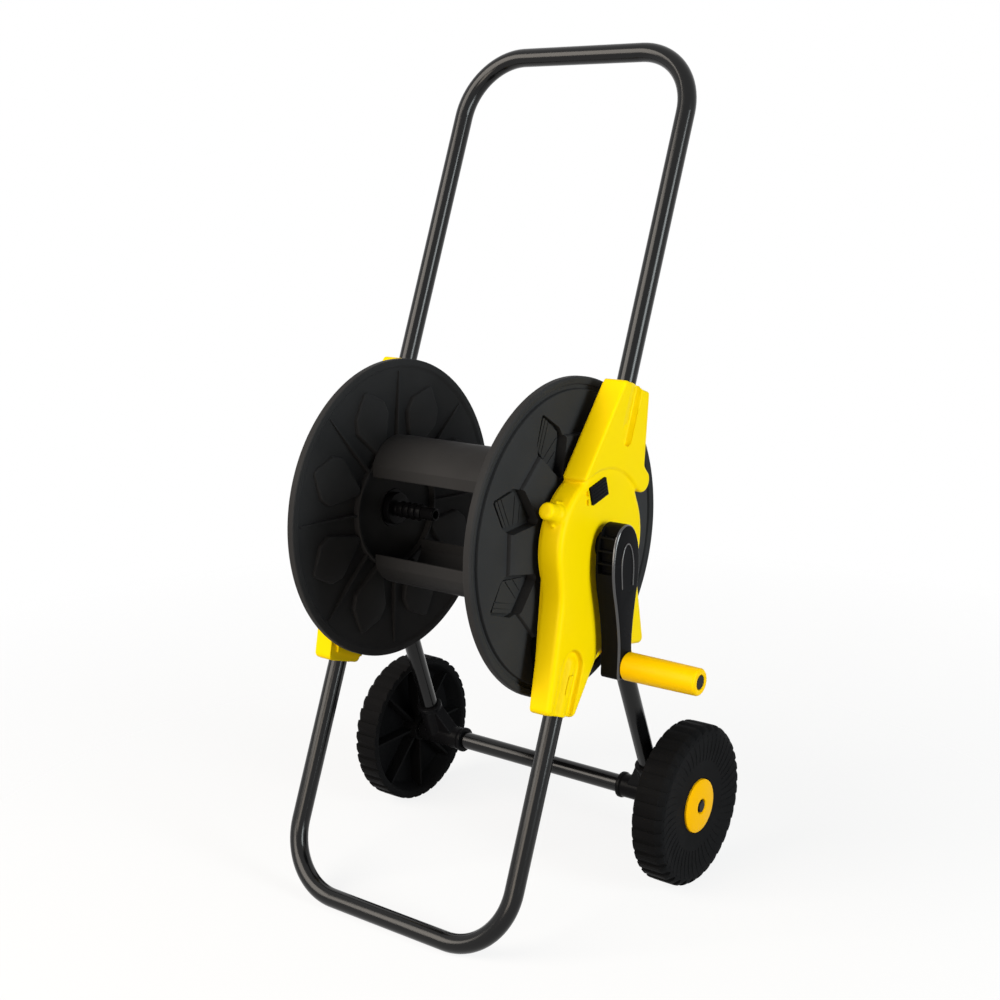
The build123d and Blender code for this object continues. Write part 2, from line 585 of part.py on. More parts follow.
def flange():
    """Right flange, turned about the reel axis."""
    rim_in = FLANGE_R - RIM_DEPTH
    face_edge = rim_in - RIM_GROOVE
    rim_out = FLANGE_IN + RIM_WIDTH
    shape = turned(
        (FLANGE_IN, rim_in), (FLANGE_IN, FLANGE_R - RIM_IN_ROUND), (FLANGE_IN + RIM_IN_ROUND, FLANGE_R),
        (rim_out - RIM_OUT_ROUND, FLANGE_R), (rim_out, FLANGE_R - RIM_OUT_ROUND), (rim_out, rim_in),
        (WEB_OUT - WEB / 2, rim_in), (WEB_OUT - WEB / 2, face_edge), (WEB_OUT, face_edge),
        (WEB_OUT + WEB_RISE, PLATEAU_FLAT - 2), (WEB_OUT + WEB_RISE - WEB, PLATEAU_FLAT - 2),
        (WEB_OUT - WEB, face_edge))
    plateau = slab(SIDE, octagon(PLATEAU_FLAT), WEB_OUT, PLATEAU_OUT)
    plateau = chamfer(plateau.edges().group_by(Axis.X)[-1], PLATEAU_BEVEL)
    shape += plateau - rod(WEB_OUT - 1, PLATEAU_OUT - WEB, SCOOP_IN - 2 * WEB)
    shape += rod(HUB_PLATE_IN, PLATEAU_OUT, COLLAR_R)
    shape += ring(FLANGE_IN, HUB_PLATE_IN, COLLAR_R, COLLAR_R - WEB)
    seat = slab(SIDE, slat_section(SEAT_WALL), SLAT_END, PLATEAU_OUT - WEB)
    shape += seat
    shape += Rot(180, 0, 0) * seat
    rib = Pos(RIB_EDGE, COLLAR_R - 1, -RIB_THICK / 2) * Box(
        WEB_OUT - RIB_EDGE, rim_in - COLLAR_R + 2, RIB_THICK, align=(Align.MIN, Align.MIN, Align.MIN))
    half_step = 180.0 / SECTORS
    for copy in around(rib, SECTORS, SCOOP_TURN + half_step):
        shape += copy
    for copy in around(scoop_back(), SECTORS, SCOOP_TURN):
        shape += copy
    for copy in around(scoop(), SECTORS, SCOOP_TURN):
        shape -= copy
    for hole in spindle_screw_shapes(SCREW_R, HUB_PLATE_IN, PLATEAU_OUT + 1):
        shape -= hole
    return shape - rod(FLANGE_IN - 1, PLATEAU_OUT + 1, SPIGOT_R)


def spindle_screw_shapes(radius, x0, x1):
    return around(Pos(0, SPINDLE_SCREW_AT, 0) * rod(x0, x1, radius), SPINDLE_SCREWS, 45.0)


def spindle(end):
    """Plate, spigot and journal that both spindles share."""
    face = PLATEAU_OUT + SPINDLE_PLATE
    body = rod(PLATEAU_OUT, face, SPINDLE_PLATE_R) + rod(HUB_PLATE_IN, PLATEAU_OUT, SPIGOT_R)
    body += rod(face, end, JOURNAL_R)
    for hole in spindle_screw_shapes(SCREW_R, PLATEAU_OUT - 1, face + 1):
        body -= hole
    for sink in spindle_screw_shapes(SCREW_HEAD_R, face - SCREW_HEAD, face + 1):
        body -= sink
    return body


def drive_spindle():
    body = spindle(CRANK_BACK - 1)
    body += slab(SIDE, Rectangle(SQUARE_DRIVE, SQUARE_DRIVE), CRANK_BACK - 1, DRIVE_END)
    return body - rod(BRACKET_OUT, DRIVE_END + 1, PIN_R)


def water_spindle():
    return spindle(BRACKET_OUT - 1) - rod(HUB_PLATE_IN - 1, BRACKET_OUT, WATER_BORE)


def spindle_screws():
    face = PLATEAU_OUT + SPINDLE_PLATE
    heads = spindle_screw_shapes(SCREW_HEAD_R, face - SCREW_HEAD, face)
    shanks = spindle_screw_shapes(SCREW_R, HUB_PLATE_IN + 1, face)
    return [head + shank for head, shank in zip(heads, shanks)]


def outlet_nipple():
    """Ringed stub inside the drum that the wound hose is pushed on to."""
    plug_end = HUB_PLATE_IN + OUTLET_PLUG
    body = rod(OUTLET_END, plug_end, OUTLET_SPIGOT_R)
    body += rod(HUB_PLATE_IN - OUTLET_FOOT, HUB_PLATE_IN, OUTLET_FOOT_R)
    body += rod(HUB_PLATE_IN, plug_end, WATER_BORE)
    for k in range(BARBS):
        x = OUTLET_END + BARB_START + BARB_STEP * k
        body += turned((x, 0), (x, BARB_SMALL_R), (x + BARB_LENGTH, BARB_LARGE_R), (x + BARB_LENGTH, 0))
    return body - rod(OUTLET_END - 1, plug_end + 1, OUTLET_BORE_R)


def crank_outline():
    """Long oval head that narrows smoothly to the grip end."""
    front = [(-across, up) for across, up in CRANK_SIDE]
    edge = Spline(*front, (0, CRANK_TOP), *reversed(CRANK_SIDE))
    blade = make_face([edge, Line(edge @ 1, edge @ 0)])
    return fillet(blade.vertices(), CRANK_CORNER_R)


def crank_windows():
    """Openings in both sides of the crank's head."""
    middle = (CRANK_BACK + CRANK_FRONT) / 2
    reach = CRANK_TOP
    cuts = []
    for depth, low, high in WINDOWS:
        for side in (-1, 1):
            spot = Pos(middle, side * (depth + reach / 2), (low + high) / 2)
            cuts.append(spot * Box(WINDOW_WIDTH, reach, high - low))
    return cuts


def crank_arm():
    body = slab(SIDE, crank_outline(), CRANK_BACK, CRANK_FRONT)
    body = fillet(body.edges().group_by(Axis.X)[-1], CRANK_EDGE_R)
    body -= slab(SIDE, Rectangle(SQUARE_DRIVE, SQUARE_DRIVE), CRANK_BACK - 1, DRIVE_END)
    body -= rod(DRIVE_END - 1, CAP_FLOOR + 1, CRANK_SCREW_SINK_R)
    body -= slab(SIDE, cap_outline(), CAP_FLOOR, CRANK_FRONT + 1)
    for window in crank_windows():
        body -= window
    return body - Pos(0, 0, -CRANK_LENGTH) * rod(CRANK_BACK + CRANK_WALL, CRANK_FRONT + 1, PIN_R)


def cap_outline():
    return Pos(0, -CAP_DROP) * Ellipse(CAP_HALF_WIDTH, CAP_HALF_HEIGHT)


def crank_screw():
    return rod(DRIVE_END, CAP_FLOOR, CRANK_SCREW_HEAD_R) + rod(CRANK_SCREW_IN, DRIVE_END, PIN_R)


def crank_grip():
    start = CRANK_FRONT + GRIP_GAP
    barrel = rod(start, GRIP_END, GRIP_R)
    barrel = fillet(barrel.edges().group_by(Axis.X)[-1], GRIP_END_ROUND)
    barrel = fillet(barrel.edges().group_by(Axis.X)[0], GRIP_FOOT_ROUND)
    barrel -= rod(start - 1, GRIP_END + 1, PIN_R + FIT)
    return barrel - rod(GRIP_END - PIN_HEAD - 1, GRIP_END + 1, PIN_HEAD_R + GRIP_GAP)


def grip_pin():
    head_in = GRIP_END - PIN_HEAD - 1 + GRIP_GAP
    return rod(CRANK_BACK + CRANK_WALL, head_in, PIN_R) + rod(head_in, head_in + PIN_HEAD, PIN_HEAD_R)


def build_reel():
    keep_pair("flange", REEL * flange())
    slat = slab(SIDE, slat_section(SLAT_WALL), -SLAT_END, SLAT_END)
    keep("upper_slat", REEL * slat)
    keep("lower_slat", REEL * Rot(180, 0, 0) * slat)
    keep("drive_spindle", REEL * drive_spindle())
    keep("water_spindle", to_left(REEL * water_spindle()))
    screws = [REEL * screw for screw in spindle_screws()]
    keep("spindle_screws", Compound(children=screws + [to_left(screw) for screw in screws]))
    keep("outlet_nipple", to_left(REEL * outlet_nipple()))
    keep("crank_arm", REEL * crank_arm())
    keep("crank_cap", REEL * slab(SIDE, cap_outline(), CAP_FLOOR, CRANK_FRONT))
    keep("crank_screw", REEL * crank_screw())
    hand = REEL * Pos(0, 0, -CRANK_LENGTH)
    keep("grip_pin", hand * grip_pin())
    keep("crank_grip", hand * crank_grip())


# Wheels

def wheel():
    """Right wheel: tread with cross grooves, dished outer face, open ribbed inner side."""
    bore = AXLE_R + FIT
    hub_in = SLEEVE_OUT + WASHER + WHEEL_HUB_GAP
    shape = turned(
        (hub_in, bore), (hub_in, WHEEL_HUB_R), (WHEEL_WEB_IN, WHEEL_HUB_R), (WHEEL_WEB_IN, TREAD_ROOT_R),
        (WHEEL_IN, TREAD_BACK_R), (WHEEL_IN, WHEEL_R - TREAD_EDGE), (WHEEL_IN + TREAD_EDGE, WHEEL_R),
        *WHEEL_SIDE, (CAP_SEAT, CAP_R), (CAP_SEAT, bore))
    groove = Pos(WHEEL_IN - 1, WHEEL_R - LUG_DEPTH, -LUG_GROOVE / 2) * Box(
        WHEEL_OUT - WHEEL_IN - 2, 2 * LUG_DEPTH, LUG_GROOVE, align=(Align.MIN, Align.MIN, Align.MIN))
    shape -= around(groove, LUGS, 180.0 / LUGS)
    spoke_in = WHEEL_IN + SPOKE_SET_BACK
    spoke = Pos(spoke_in, WHEEL_HUB_R - 1, -SPOKE / 2) * Box(
        WHEEL_WEB_IN - spoke_in + 1, SPOKE_LENGTH, SPOKE, align=(Align.MIN, Align.MIN, Align.MIN))
    for copy in around(spoke, WHEEL_SPOKES):
        shape += copy
    return shape


def hub_cap():
    """Snap-in cap with a slightly domed face and a hole over the axle end."""
    return turned((CAP_SEAT, CAP_HOLE_R), (CAP_SEAT, CAP_R), *CAP_FACE)


def build_wheels():
    keep_pair("wheel", AXLE * wheel())
    keep_pair("hub_cap", AXLE * hub_cap())


build_frame()
build_brackets()
build_lock()
build_inlet()
build_reel()
build_wheels()

to_origin = Pos(*[-value for value in ORIGIN])
for name, shape in pieces.items():
    export_step(to_origin * shape, "parts/" + name + ".step")
print("pieces", len(pieces), "origin", ORIGIN)
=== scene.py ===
"""Garden hose reel cart: camera, moulded and turned pieces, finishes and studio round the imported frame."""

import json
import math

import bpy
from mathutils import Matrix, Vector


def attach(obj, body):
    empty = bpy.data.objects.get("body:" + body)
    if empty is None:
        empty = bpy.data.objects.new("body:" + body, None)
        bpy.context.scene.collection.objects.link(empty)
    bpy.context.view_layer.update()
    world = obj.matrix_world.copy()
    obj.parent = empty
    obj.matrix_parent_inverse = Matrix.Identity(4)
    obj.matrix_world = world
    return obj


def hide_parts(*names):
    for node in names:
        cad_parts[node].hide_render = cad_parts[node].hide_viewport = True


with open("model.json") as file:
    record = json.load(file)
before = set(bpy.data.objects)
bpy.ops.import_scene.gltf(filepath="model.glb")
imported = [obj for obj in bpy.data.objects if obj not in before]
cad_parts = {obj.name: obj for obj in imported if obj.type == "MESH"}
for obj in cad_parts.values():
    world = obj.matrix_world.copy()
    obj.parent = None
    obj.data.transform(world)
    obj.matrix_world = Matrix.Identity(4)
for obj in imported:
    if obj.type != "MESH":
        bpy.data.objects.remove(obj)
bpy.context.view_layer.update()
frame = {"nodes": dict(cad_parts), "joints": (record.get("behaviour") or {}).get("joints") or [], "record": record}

# Camera: a normal lens to the right of the cart's front, looking a little down.
CAMERA_AZIMUTH, CAMERA_PITCH, CAMERA_ROLL = 37.014, 13.544, -0.773
CAMERA_REACH = Vector((0.92038, -1.18176, 0.38357))
LENS, SENSOR = 55.11, 36.0

# Sizes are in millimetres and degrees. X is measured from the cart's middle plane towards the crank.
MM = 0.001
LEAN = 22.65                    # main tube, from upright
LOOP_HALF = 138.0               # main tube, from the middle plane
CRANK_LENGTH = 116.5
CRANK_BACK, CRANK_FRONT = 158.0, 179.0


def joint_place(name):
    return Vector(next(joint for joint in frame["joints"] if joint["name"] == name)["pos_m"])


REEL = joint_place("reel_spin")
AXLE = Vector((REEL.x, joint_place("right_wheel_spin").y, joint_place("right_wheel_spin").z))
HAND = REEL - Vector((0, 0, CRANK_LENGTH * MM))
LEG_ANGLE = math.degrees(math.atan2(AXLE.y - REEL.y, REEL.z - AXLE.z))
LEG_TURN = LEAN + LEG_ANGLE


def add_camera():
    azimuth, pitch, roll = (math.radians(a) for a in (CAMERA_AZIMUTH, CAMERA_PITCH, CAMERA_ROLL))
    level = math.cos(pitch)
    ahead = Vector((-math.sin(azimuth) * level, math.cos(azimuth) * level, -math.sin(pitch)))
    right = ahead.cross(Vector((0, 0, 1))).normalized()
    up = right.cross(ahead)
    right, up = right * math.cos(roll) + up * math.sin(roll), up * math.cos(roll) - right * math.sin(roll)
    turn = Matrix((right, up, -ahead)).transposed()
    bpy.ops.object.camera_add(location=REEL + CAMERA_REACH, rotation=turn.to_euler())
    camera = bpy.context.object
    camera.data.lens = LENS
    camera.data.sensor_width = SENSOR
    bpy.context.scene.camera = camera


# Finishes

MIX_FIRST, MIX_SECOND, MIX_RESULT = 6, 7, 2     # colour sockets of a mix node
GRAIN_DEPTH = 0.1
MELT_PATCH, RUB_PATCH = 45.0, 18.0              # patches of drifting colour and gloss on a moulding
MOULD_GLOSS_DRIFT = 0.06
COAT_PATCH, COAT_PEEL, COAT_PEEL_STRENGTH = 60.0, 1.6, 0.06
COAT_GLOSS = (0.14, 0.22)
COAT_SPECULAR = 0.25
FILM_PATCH = 4.0
FILM_SMOOTHER, FILM_ROUGHER = 0.08, 0.1
# Specular level of the crank's painted highlights.
HIGHLIGHT_SPECULAR = 1.0
# Bands of painted highlight along X, as middle and half width: the crank's rounded edge and its arch line.
CRANK_HIGHLIGHT_BANDS = [(CRANK_FRONT - 1.5, 1.1), (CRANK_FRONT + 0.7, 0.6)]

# Each plastic: its name, two shades, roughness, size and strength of its grain, and specular level.
# The grain is drawn coarser than on real mouldings, so that it shows.
PLASTICS = {
    # Satin yellows, even in colour, with hardly any reflection of the surround.
    "yellow_plastic": ("yellow_polypropylene", "#fbda00", "#f9d500", 0.42, 0.5, 0.12, 0.06),
    "grip_plastic": ("golden_polypropylene", "#fccb00", "#f9c500", 0.40, 0.5, 0.1, 0.06),
    "cap_plastic": ("amber_polypropylene", "#fcbd00", "#f8b500", 0.38, 0.5, 0.1, 0.04),
    # Dull charcoal with a plain grain.
    "grey_plastic": ("grey_polypropylene", "#353536", "#2c2c2d", 0.44, 0.6, 0.25, 0.02),
    # Deep blacks, smooth to the hand. The crank's rounded edge and arch line get painted highlights.
    "black_plastic": ("black_polypropylene", "#131315", "#0f0f11", 0.24, 0.6, 0.12, 0.03),
    "crank_plastic": ("painted_highlight_polypropylene", "#131315", "#0f0f11", 0.24, 0.6, 0.12, 0.02),
    # Milky white, slightly waxy.
    "bush_plastic": ("natural_acetal", "#e8e5dc", "#dedad0", 0.35, 0.8, 0.1, 0.5),
    # Flat blacks with a coarse grain.
    "wheel_plastic": ("wheel_polyethylene", "#171718", "#121213", 0.5, 0.7, 0.3, 0.01),
    "seal_rubber": ("black_rubber", "#161616", "#101010", 0.75, 0.4, 0.3, 0.5),
}


def linear(code):
    """sRGB hex colour as linear red, green, blue and alpha."""
    parts = [int(code[k:k + 2], 16) / 255 for k in (1, 3, 5)]
    return [p / 12.92 if p <= 0.04045 else ((p + 0.055) / 1.055) ** 2.4 for p in parts] + [1.0]


def add(tree, kind, inputs=None, **settings):
    """Add a shader node with its settings, and set or link its inputs by name or number."""
    made = tree.nodes.new(kind)
    for key, value in settings.items():
        setattr(made, key, value)
    for key, value in (inputs or {}).items():
        if isinstance(value, bpy.types.NodeSocket):
            tree.links.new(value, made.inputs[key])
        else:
            made.inputs[key].default_value = value
    return made


def per_mm(size):
    """Noise scale, in metres, whose features are about this many millimetres across."""
    return 1.0 / (size * MM)


def blank(name):
    """New material, its nodes, its shader, and the place on the piece that its patterns read."""
    material = bpy.data.materials.new(name)
    material.use_nodes = True
    tree = material.node_tree
    return material, tree, tree.nodes["Principled BSDF"], add(tree, "ShaderNodeTexCoord").outputs["Object"]


def mottle(tree, shader, place, size, detail, shade, deep):
    """Let the colour drift between two shades in patches of a size, and give back the pattern."""
    drift = add(tree, "ShaderNodeTexNoise", {"Vector": place, "Scale": per_mm(size), "Detail": detail})
    shades = {"Factor": drift.outputs["Fac"], MIX_FIRST: linear(deep), MIX_SECOND: linear(shade)}
    colour = add(tree, "ShaderNodeMix", shades, data_type="RGBA")
    tree.links.new(colour.outputs[MIX_RESULT], shader.inputs["Base Color"])
    return drift.outputs["Fac"]


def raise_grain(tree, shader, place, size, detail, strength):
    """Raise a fine grain on the surface."""
    grain = add(tree, "ShaderNodeTexNoise", {"Vector": place, "Scale": per_mm(size), "Detail": detail})
    height = {"Height": grain.outputs["Fac"], "Strength": strength, "Distance": GRAIN_DEPTH * MM}
    tree.links.new(add(tree, "ShaderNodeBump", height).outputs["Normal"], shader.inputs["Normal"])


def moulded(name, shade, deep, roughness, grain, strength, specular):
    """Moulded plastic: its colour drifts softly with the melt's flow, and a fine grain breaks the gloss."""
    material, tree, shader, place = blank(name)
    mottle(tree, shader, place, MELT_PATCH, 3.0, shade, deep)
    raise_grain(tree, shader, place, grain, 2.0, strength)
    rub = add(tree, "ShaderNodeTexNoise", {"Vector": place, "Scale": per_mm(RUB_PATCH), "Detail": 5.0})
    spread = {"Value": rub.outputs["Fac"], "From Min": 0.3, "From Max": 0.7,
              "To Min": roughness - MOULD_GLOSS_DRIFT, "To Max": roughness + MOULD_GLOSS_DRIFT}
    tree.links.new(add(tree, "ShaderNodeMapRange", spread).outputs["Result"], shader.inputs["Roughness"])
    shader.inputs["Specular IOR Level"].default_value = specular
    return material


def paint_highlight_bands(material, bands):
    """Paint highlights on a moulding's raised edges: full specular level in two bands of (middle, half width)
    along X.
    """
    tree = material.node_tree
    specular = tree.nodes["Principled BSDF"].inputs["Specular IOR Level"]
    place = add(tree, "ShaderNodeTexCoord").outputs["Object"]
    along = add(tree, "ShaderNodeSeparateXYZ", {"Vector": place}).outputs["X"]
    edges = []
    for middle, half in bands:
        near = {0: along, 1: REEL.x + middle * MM, 2: half * MM}
        edges.append(add(tree, "ShaderNodeMath", near, operation="COMPARE").outputs[0])
    either = add(tree, "ShaderNodeMath", dict(enumerate(edges)), operation="MAXIMUM")
    level = {"Value": either.outputs[0], "To Min": specular.default_value, "To Max": HIGHLIGHT_SPECULAR}
    tree.links.new(add(tree, "ShaderNodeMapRange", level).outputs["Result"], specular)


def powder_coat():
    """Gloss black powder coat on steel tube: deep black, with a faint orange peel in the highlights."""
    material, tree, shader, place = blank("black_powder_coat")
    drift = mottle(tree, shader, place, COAT_PATCH, 3.0, "#0c0c0d", "#060607")
    raise_grain(tree, shader, place, COAT_PEEL, 1.0, COAT_PEEL_STRENGTH)
    spread = {"Value": drift, "To Min": COAT_GLOSS[0], "To Max": COAT_GLOSS[1]}
    tree.links.new(add(tree, "ShaderNodeMapRange", spread).outputs["Result"], shader.inputs["Roughness"])
    shader.inputs["Specular IOR Level"].default_value = COAT_SPECULAR
    return material


def plated_steel(name, shade, deep, roughness):
    """Zinc or blackened steel: a mottled film that is duller in places."""
    material, tree, shader, place = blank(name)
    film = mottle(tree, shader, place, FILM_PATCH, 4.0, shade, deep)
    spread = {"Value": film, "To Min": roughness - FILM_SMOOTHER, "To Max": roughness + FILM_ROUGHER}
    tree.links.new(add(tree, "ShaderNodeMapRange", spread).outputs["Result"], shader.inputs["Roughness"])
    shader.inputs["Metallic"].default_value = 1.0
    return material


FINISHES = {slot: moulded(*values) for slot, values in PLASTICS.items()}
FINISHES["black_powder_coat"] = powder_coat()
FINISHES["zinc_steel"] = plated_steel("zinc_plated_steel", "#c3c4c0", "#9c9d98", 0.34)
FINISHES["black_steel"] = plated_steel("blackened_steel", "#1a1a1c", "#101011", 0.45)
# Painted highlights on the crank's rounded edge and arch line.
paint_highlight_bands(FINISHES["crank_plastic"], CRANK_HIGHLIGHT_BANDS)


def dress_frame():
    """Give every carried-over node the finish of its slot."""
    for part in frame["record"]["subparts"]:
        mesh = frame["nodes"][part["node"]].data
        mesh.materials.clear()
        mesh.materials.append(FINISHES[part["material_slot"]])


# Modelling steps, all in millimetres round a working origin.

SAME_PLACE = 0.002              # points closer than this are one
SAME_LEVEL = 0.01
NEARLY_STRAIGHT = 89.5          # half angle above which a corner isn't rounded
SMOOTHING, KEPT_SHARE = 0.5, 0.35
SMOOTH_ANGLE = 35.0             # edges sharper than this stay crisp


def deselect():
    bpy.ops.object.select_all(action="DESELECT")


def pick(obj):
    deselect()
    obj.select_set(True)
    bpy.context.view_layer.objects.active = obj


def editing(obj):
    pick(obj)
    bpy.ops.object.mode_set(mode="EDIT")


def tidy_skin():
    """Close the seams of the piece being edited, and turn its faces outwards."""
    bpy.ops.mesh.select_all(action="SELECT")
    bpy.ops.mesh.remove_doubles(threshold=SAME_PLACE)
    bpy.ops.mesh.normals_make_consistent(inside=False)
    bpy.ops.object.mode_set(mode="OBJECT")


def draw(name, points):
    """Draw a line of points, each extruded from the last, starting from a plane merged to one point."""
    deselect()
    bpy.ops.mesh.primitive_plane_add(size=1.0)
    obj = bpy.context.object
    obj.name = obj.data.name = name
    bpy.ops.object.mode_set(mode="EDIT")
    bpy.ops.mesh.select_mode(type="VERT")
    bpy.ops.mesh.select_all(action="SELECT")
    bpy.ops.mesh.merge(type="CENTER")
    bpy.ops.transform.translate(value=points[0])
    for start, end in zip(points, points[1:]):
        step = Vector(end) - Vector(start)
        bpy.ops.mesh.extrude_vertices_move(TRANSFORM_OT_translate={"value": step})
    return obj


def lathe(name, profile, steps):
    """Turn a profile of (x, radius) points about X. A profile off the axis is a closed loop."""
    points = [(x, 0, r) for x, r in profile]
    if min(r for x, r in profile) > 0:
        points.append(points[0])
    obj = draw(name, points)
    bpy.ops.mesh.select_all(action="SELECT")
    bpy.ops.mesh.remove_doubles(threshold=SAME_PLACE)
    bpy.ops.mesh.spin(steps=steps, angle=math.tau, center=(0, 0, 0), axis=(1, 0, 0))
    tidy_skin()
    return obj


def thicken(step):
    """Fill the outline being edited, and extrude it by a step."""
    bpy.ops.mesh.select_all(action="SELECT")
    bpy.ops.mesh.edge_face_add()
    bpy.ops.mesh.extrude_region_move(TRANSFORM_OT_translate={"value": step})


def prism(name, outline, x0, x1, taper=1.0):
    """Fill an outline of (across, up) points square to X, and extrude it from x0 to x1."""
    obj = draw(name, [(x0, a, b) for a, b in outline])
    thicken((x1 - x0, 0, 0))
    if taper != 1.0:
        bpy.ops.transform.resize(value=(1.0, taper, taper))
    tidy_skin()
    return obj


def choose_edges(obj, test):
    """Open a piece for editing with the edges selected whose two ends pass a test."""
    editing(obj)
    bpy.ops.mesh.select_mode(type="EDGE")
    bpy.ops.mesh.select_all(action="DESELECT")
    bpy.ops.object.mode_set(mode="OBJECT")
    mesh = obj.data
    for edge in mesh.edges:
        edge.select = all(test(mesh.vertices[k].co) for k in edge.vertices)
    bpy.ops.object.mode_set(mode="EDIT")


def round_level(obj, x, width, segments):
    """Round the rim of a flat face that lies at x."""
    choose_edges(obj, lambda p: abs(p.x - x) < SAME_LEVEL)
    bpy.ops.mesh.bevel(offset=width, segments=segments, affect="EDGES", clamp_overlap=False)
    tidy_skin()


def with_modifier(obj, kind, **settings):
    """Add a modifier, set it and apply it."""
    modifier = obj.modifiers.new(kind.lower(), kind)
    for key, value in settings.items():
        setattr(modifier, key, value)
    pick(obj)
    bpy.ops.object.modifier_apply(modifier=modifier.name)


def combine(obj, others, operation):
    """Add or cut other solids, which are used up."""
    for other in others:
        with_modifier(obj, "BOOLEAN", object=other, operation=operation, solver="MANIFOLD")
        bpy.data.objects.remove(other)


def joined(pieces):
    """Several pieces as one mesh, under the first one's name."""
    deselect()
    for piece in pieces:
        piece.select_set(True)
    bpy.context.view_layer.objects.active = pieces[0]
    bpy.ops.object.join()
    return pieces[0]


def soften(obj, voxel, passes):
    """Fuse overlapping solids to one skin with soft edges, then thin out its flat places."""
    with_modifier(obj, "REMESH", mode="VOXEL", voxel_size=voxel)
    with_modifier(obj, "SMOOTH", factor=SMOOTHING, iterations=passes)
    with_modifier(obj, "DECIMATE", ratio=KEPT_SHARE)


def copy_of(obj, name):
    pick(obj)
    bpy.ops.object.duplicate()
    made = bpy.context.object
    made.name = made.data.name = name
    return made


def turned(obj, about_x, shift=(0, 0, 0)):
    """Shift a piece, then turn it about X through the working origin."""
    pick(obj)
    obj.location = shift
    bpy.ops.object.transform_apply()
    obj.rotation_euler.x = math.radians(about_x)
    bpy.ops.object.transform_apply()
    return obj


def swung(obj, angles, pivot=(0, 0, 0)):
    """Turn a piece by angles about X, Y and Z round a pivot."""
    pick(obj)
    obj.location = [-value for value in pivot]
    bpy.ops.object.transform_apply()
    obj.rotation_euler = [math.radians(angle) for angle in angles]
    obj.location = pivot
    bpy.ops.object.transform_apply()
    return obj


def stood_up(obj, x, tilt=0.0):
    """Make a piece drawn along X stand up at x, tilted outwards."""
    pick(obj)
    obj.rotation_euler.y = math.radians(-90 - tilt)
    obj.location.x = x
    bpy.ops.object.transform_apply()
    return obj


def ring_of(obj, count, first=0.0):
    """Copies of a piece spaced evenly about X, joined to one."""
    name = obj.name
    copies = [obj] + [copy_of(obj, name) for k in range(1, count)]
    for k, made in enumerate(copies):
        turned(made, first + 360.0 * k / count)
    return joined(copies)


def mirrored(obj):
    """Turn a piece into the one for the other side of the cart."""
    pick(obj)
    obj.scale.x = -1
    bpy.ops.object.transform_apply()
    editing(obj)
    tidy_skin()
    return obj


def settle(obj, body, slot, node, origin, lean=0.0, smooth=SMOOTH_ANGLE, finish=None):
    """Put a finished piece in its place, give it its finish, and let it ride on its body."""
    pick(obj)
    obj.rotation_euler.x = math.radians(-lean)
    bpy.ops.object.transform_apply()
    obj.scale = (MM, MM, MM)
    obj.location = origin
    bpy.ops.object.transform_apply()
    bpy.ops.object.shade_smooth_by_angle(angle=math.radians(smooth))
    obj.data.materials.clear()
    obj.data.materials.append(FINISHES[finish or slot])
    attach(obj, body)
    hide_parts(node)


def arc(radius, start, end, centre=(0.0, 0.0), step=4.0):
    """Points round an arc, with angles in degrees from the across axis towards up."""
    count = max(2, round(abs(end - start) / step))
    angles = [math.radians(start + (end - start) * k / count) for k in range(count + 1)]
    return [(centre[0] + radius * math.cos(a), centre[1] + radius * math.sin(a)) for a in angles]


def plain(points):
    """Points as corners that stay sharp."""
    return [(a, b, 0.0) for a, b in points]


def rounded(corners, step=10.0):
    """Outline through corners of (across, up, radius), each corner rounded by its radius."""
    points = []
    for k, (a, b, radius) in enumerate(corners):
        here = Vector((a, b))
        before = Vector(corners[k - 1][:2]) - here
        after = Vector(corners[(k + 1) % len(corners)][:2]) - here
        half = before.angle(after) / 2
        if radius <= 0 or half > math.radians(NEARLY_STRAIGHT):
            points.append((a, b))
            continue
        back, on = before.normalized(), after.normalized()
        middle = here + (back + on).normalized() * (radius / math.sin(half))
        first = here + back * (radius / math.tan(half)) - middle
        sweep = first.angle_signed(here + on * (radius / math.tan(half)) - middle)
        count = max(1, round(abs(math.degrees(sweep)) / step))
        for n in range(count + 1):
            turn = -sweep * n / count
            points.append((middle.x + first.x * math.cos(turn) - first.y * math.sin(turn),
                           middle.y + first.x * math.sin(turn) + first.y * math.cos(turn)))
    return points


# Side brackets. Their Y runs across the main tube and their Z along it, and the lean turns them into place.

SPLIT_X = 127.0                 # where the outer half meets the back cover
FACE_X, FACE_EDGE = 151.0, 5.5  # round middle and lower arms, and the rounding of their rim
ARM_X, ARM_EDGE = 153.0, 2.4    # upper arm, which stands a little proud
DISC_R = 70.5
DISC_BACK_R = 72.0
STEP_R = 72.5
EAR, EAR_R = (46.2, 72.4), 12.0
LEG_COVER_FROM, LEG_COVER_TO, LEG_COVER_R = 84.0, 140.0, 12.4
LEG_TUBE_X = 142.2
LOWER_COVER_FROM, LOWER_COVER_TO, LOWER_COVER_R = 106.5, 168.4, 11.2
BRACKET_VOXEL, BRACKET_PASSES = 0.95, 8
BORE = [(120, 0), (120, 20.4), (149.3, 20.4), (149.3, 13.2), (160, 13.2), (160, 0)]
LOCK_MARKS = [[(-50.6, 39.0), (-44.4, 43.2), (-41.6, 37.4)],
              [(-47.4, 31.2), (-41.0, 36.0), (-38.4, 29.6)]]
LOCK_MARK_DEPTH = 2.2
PEG_Z = 14.0


def along_leg(v, u):
    """Point of the bracket's leg arm: v from the reel axis along the leg, u across it."""
    turn = math.radians(LEG_TURN)
    return (v * math.sin(turn) + u * math.cos(turn), -v * math.cos(turn) + u * math.sin(turn))


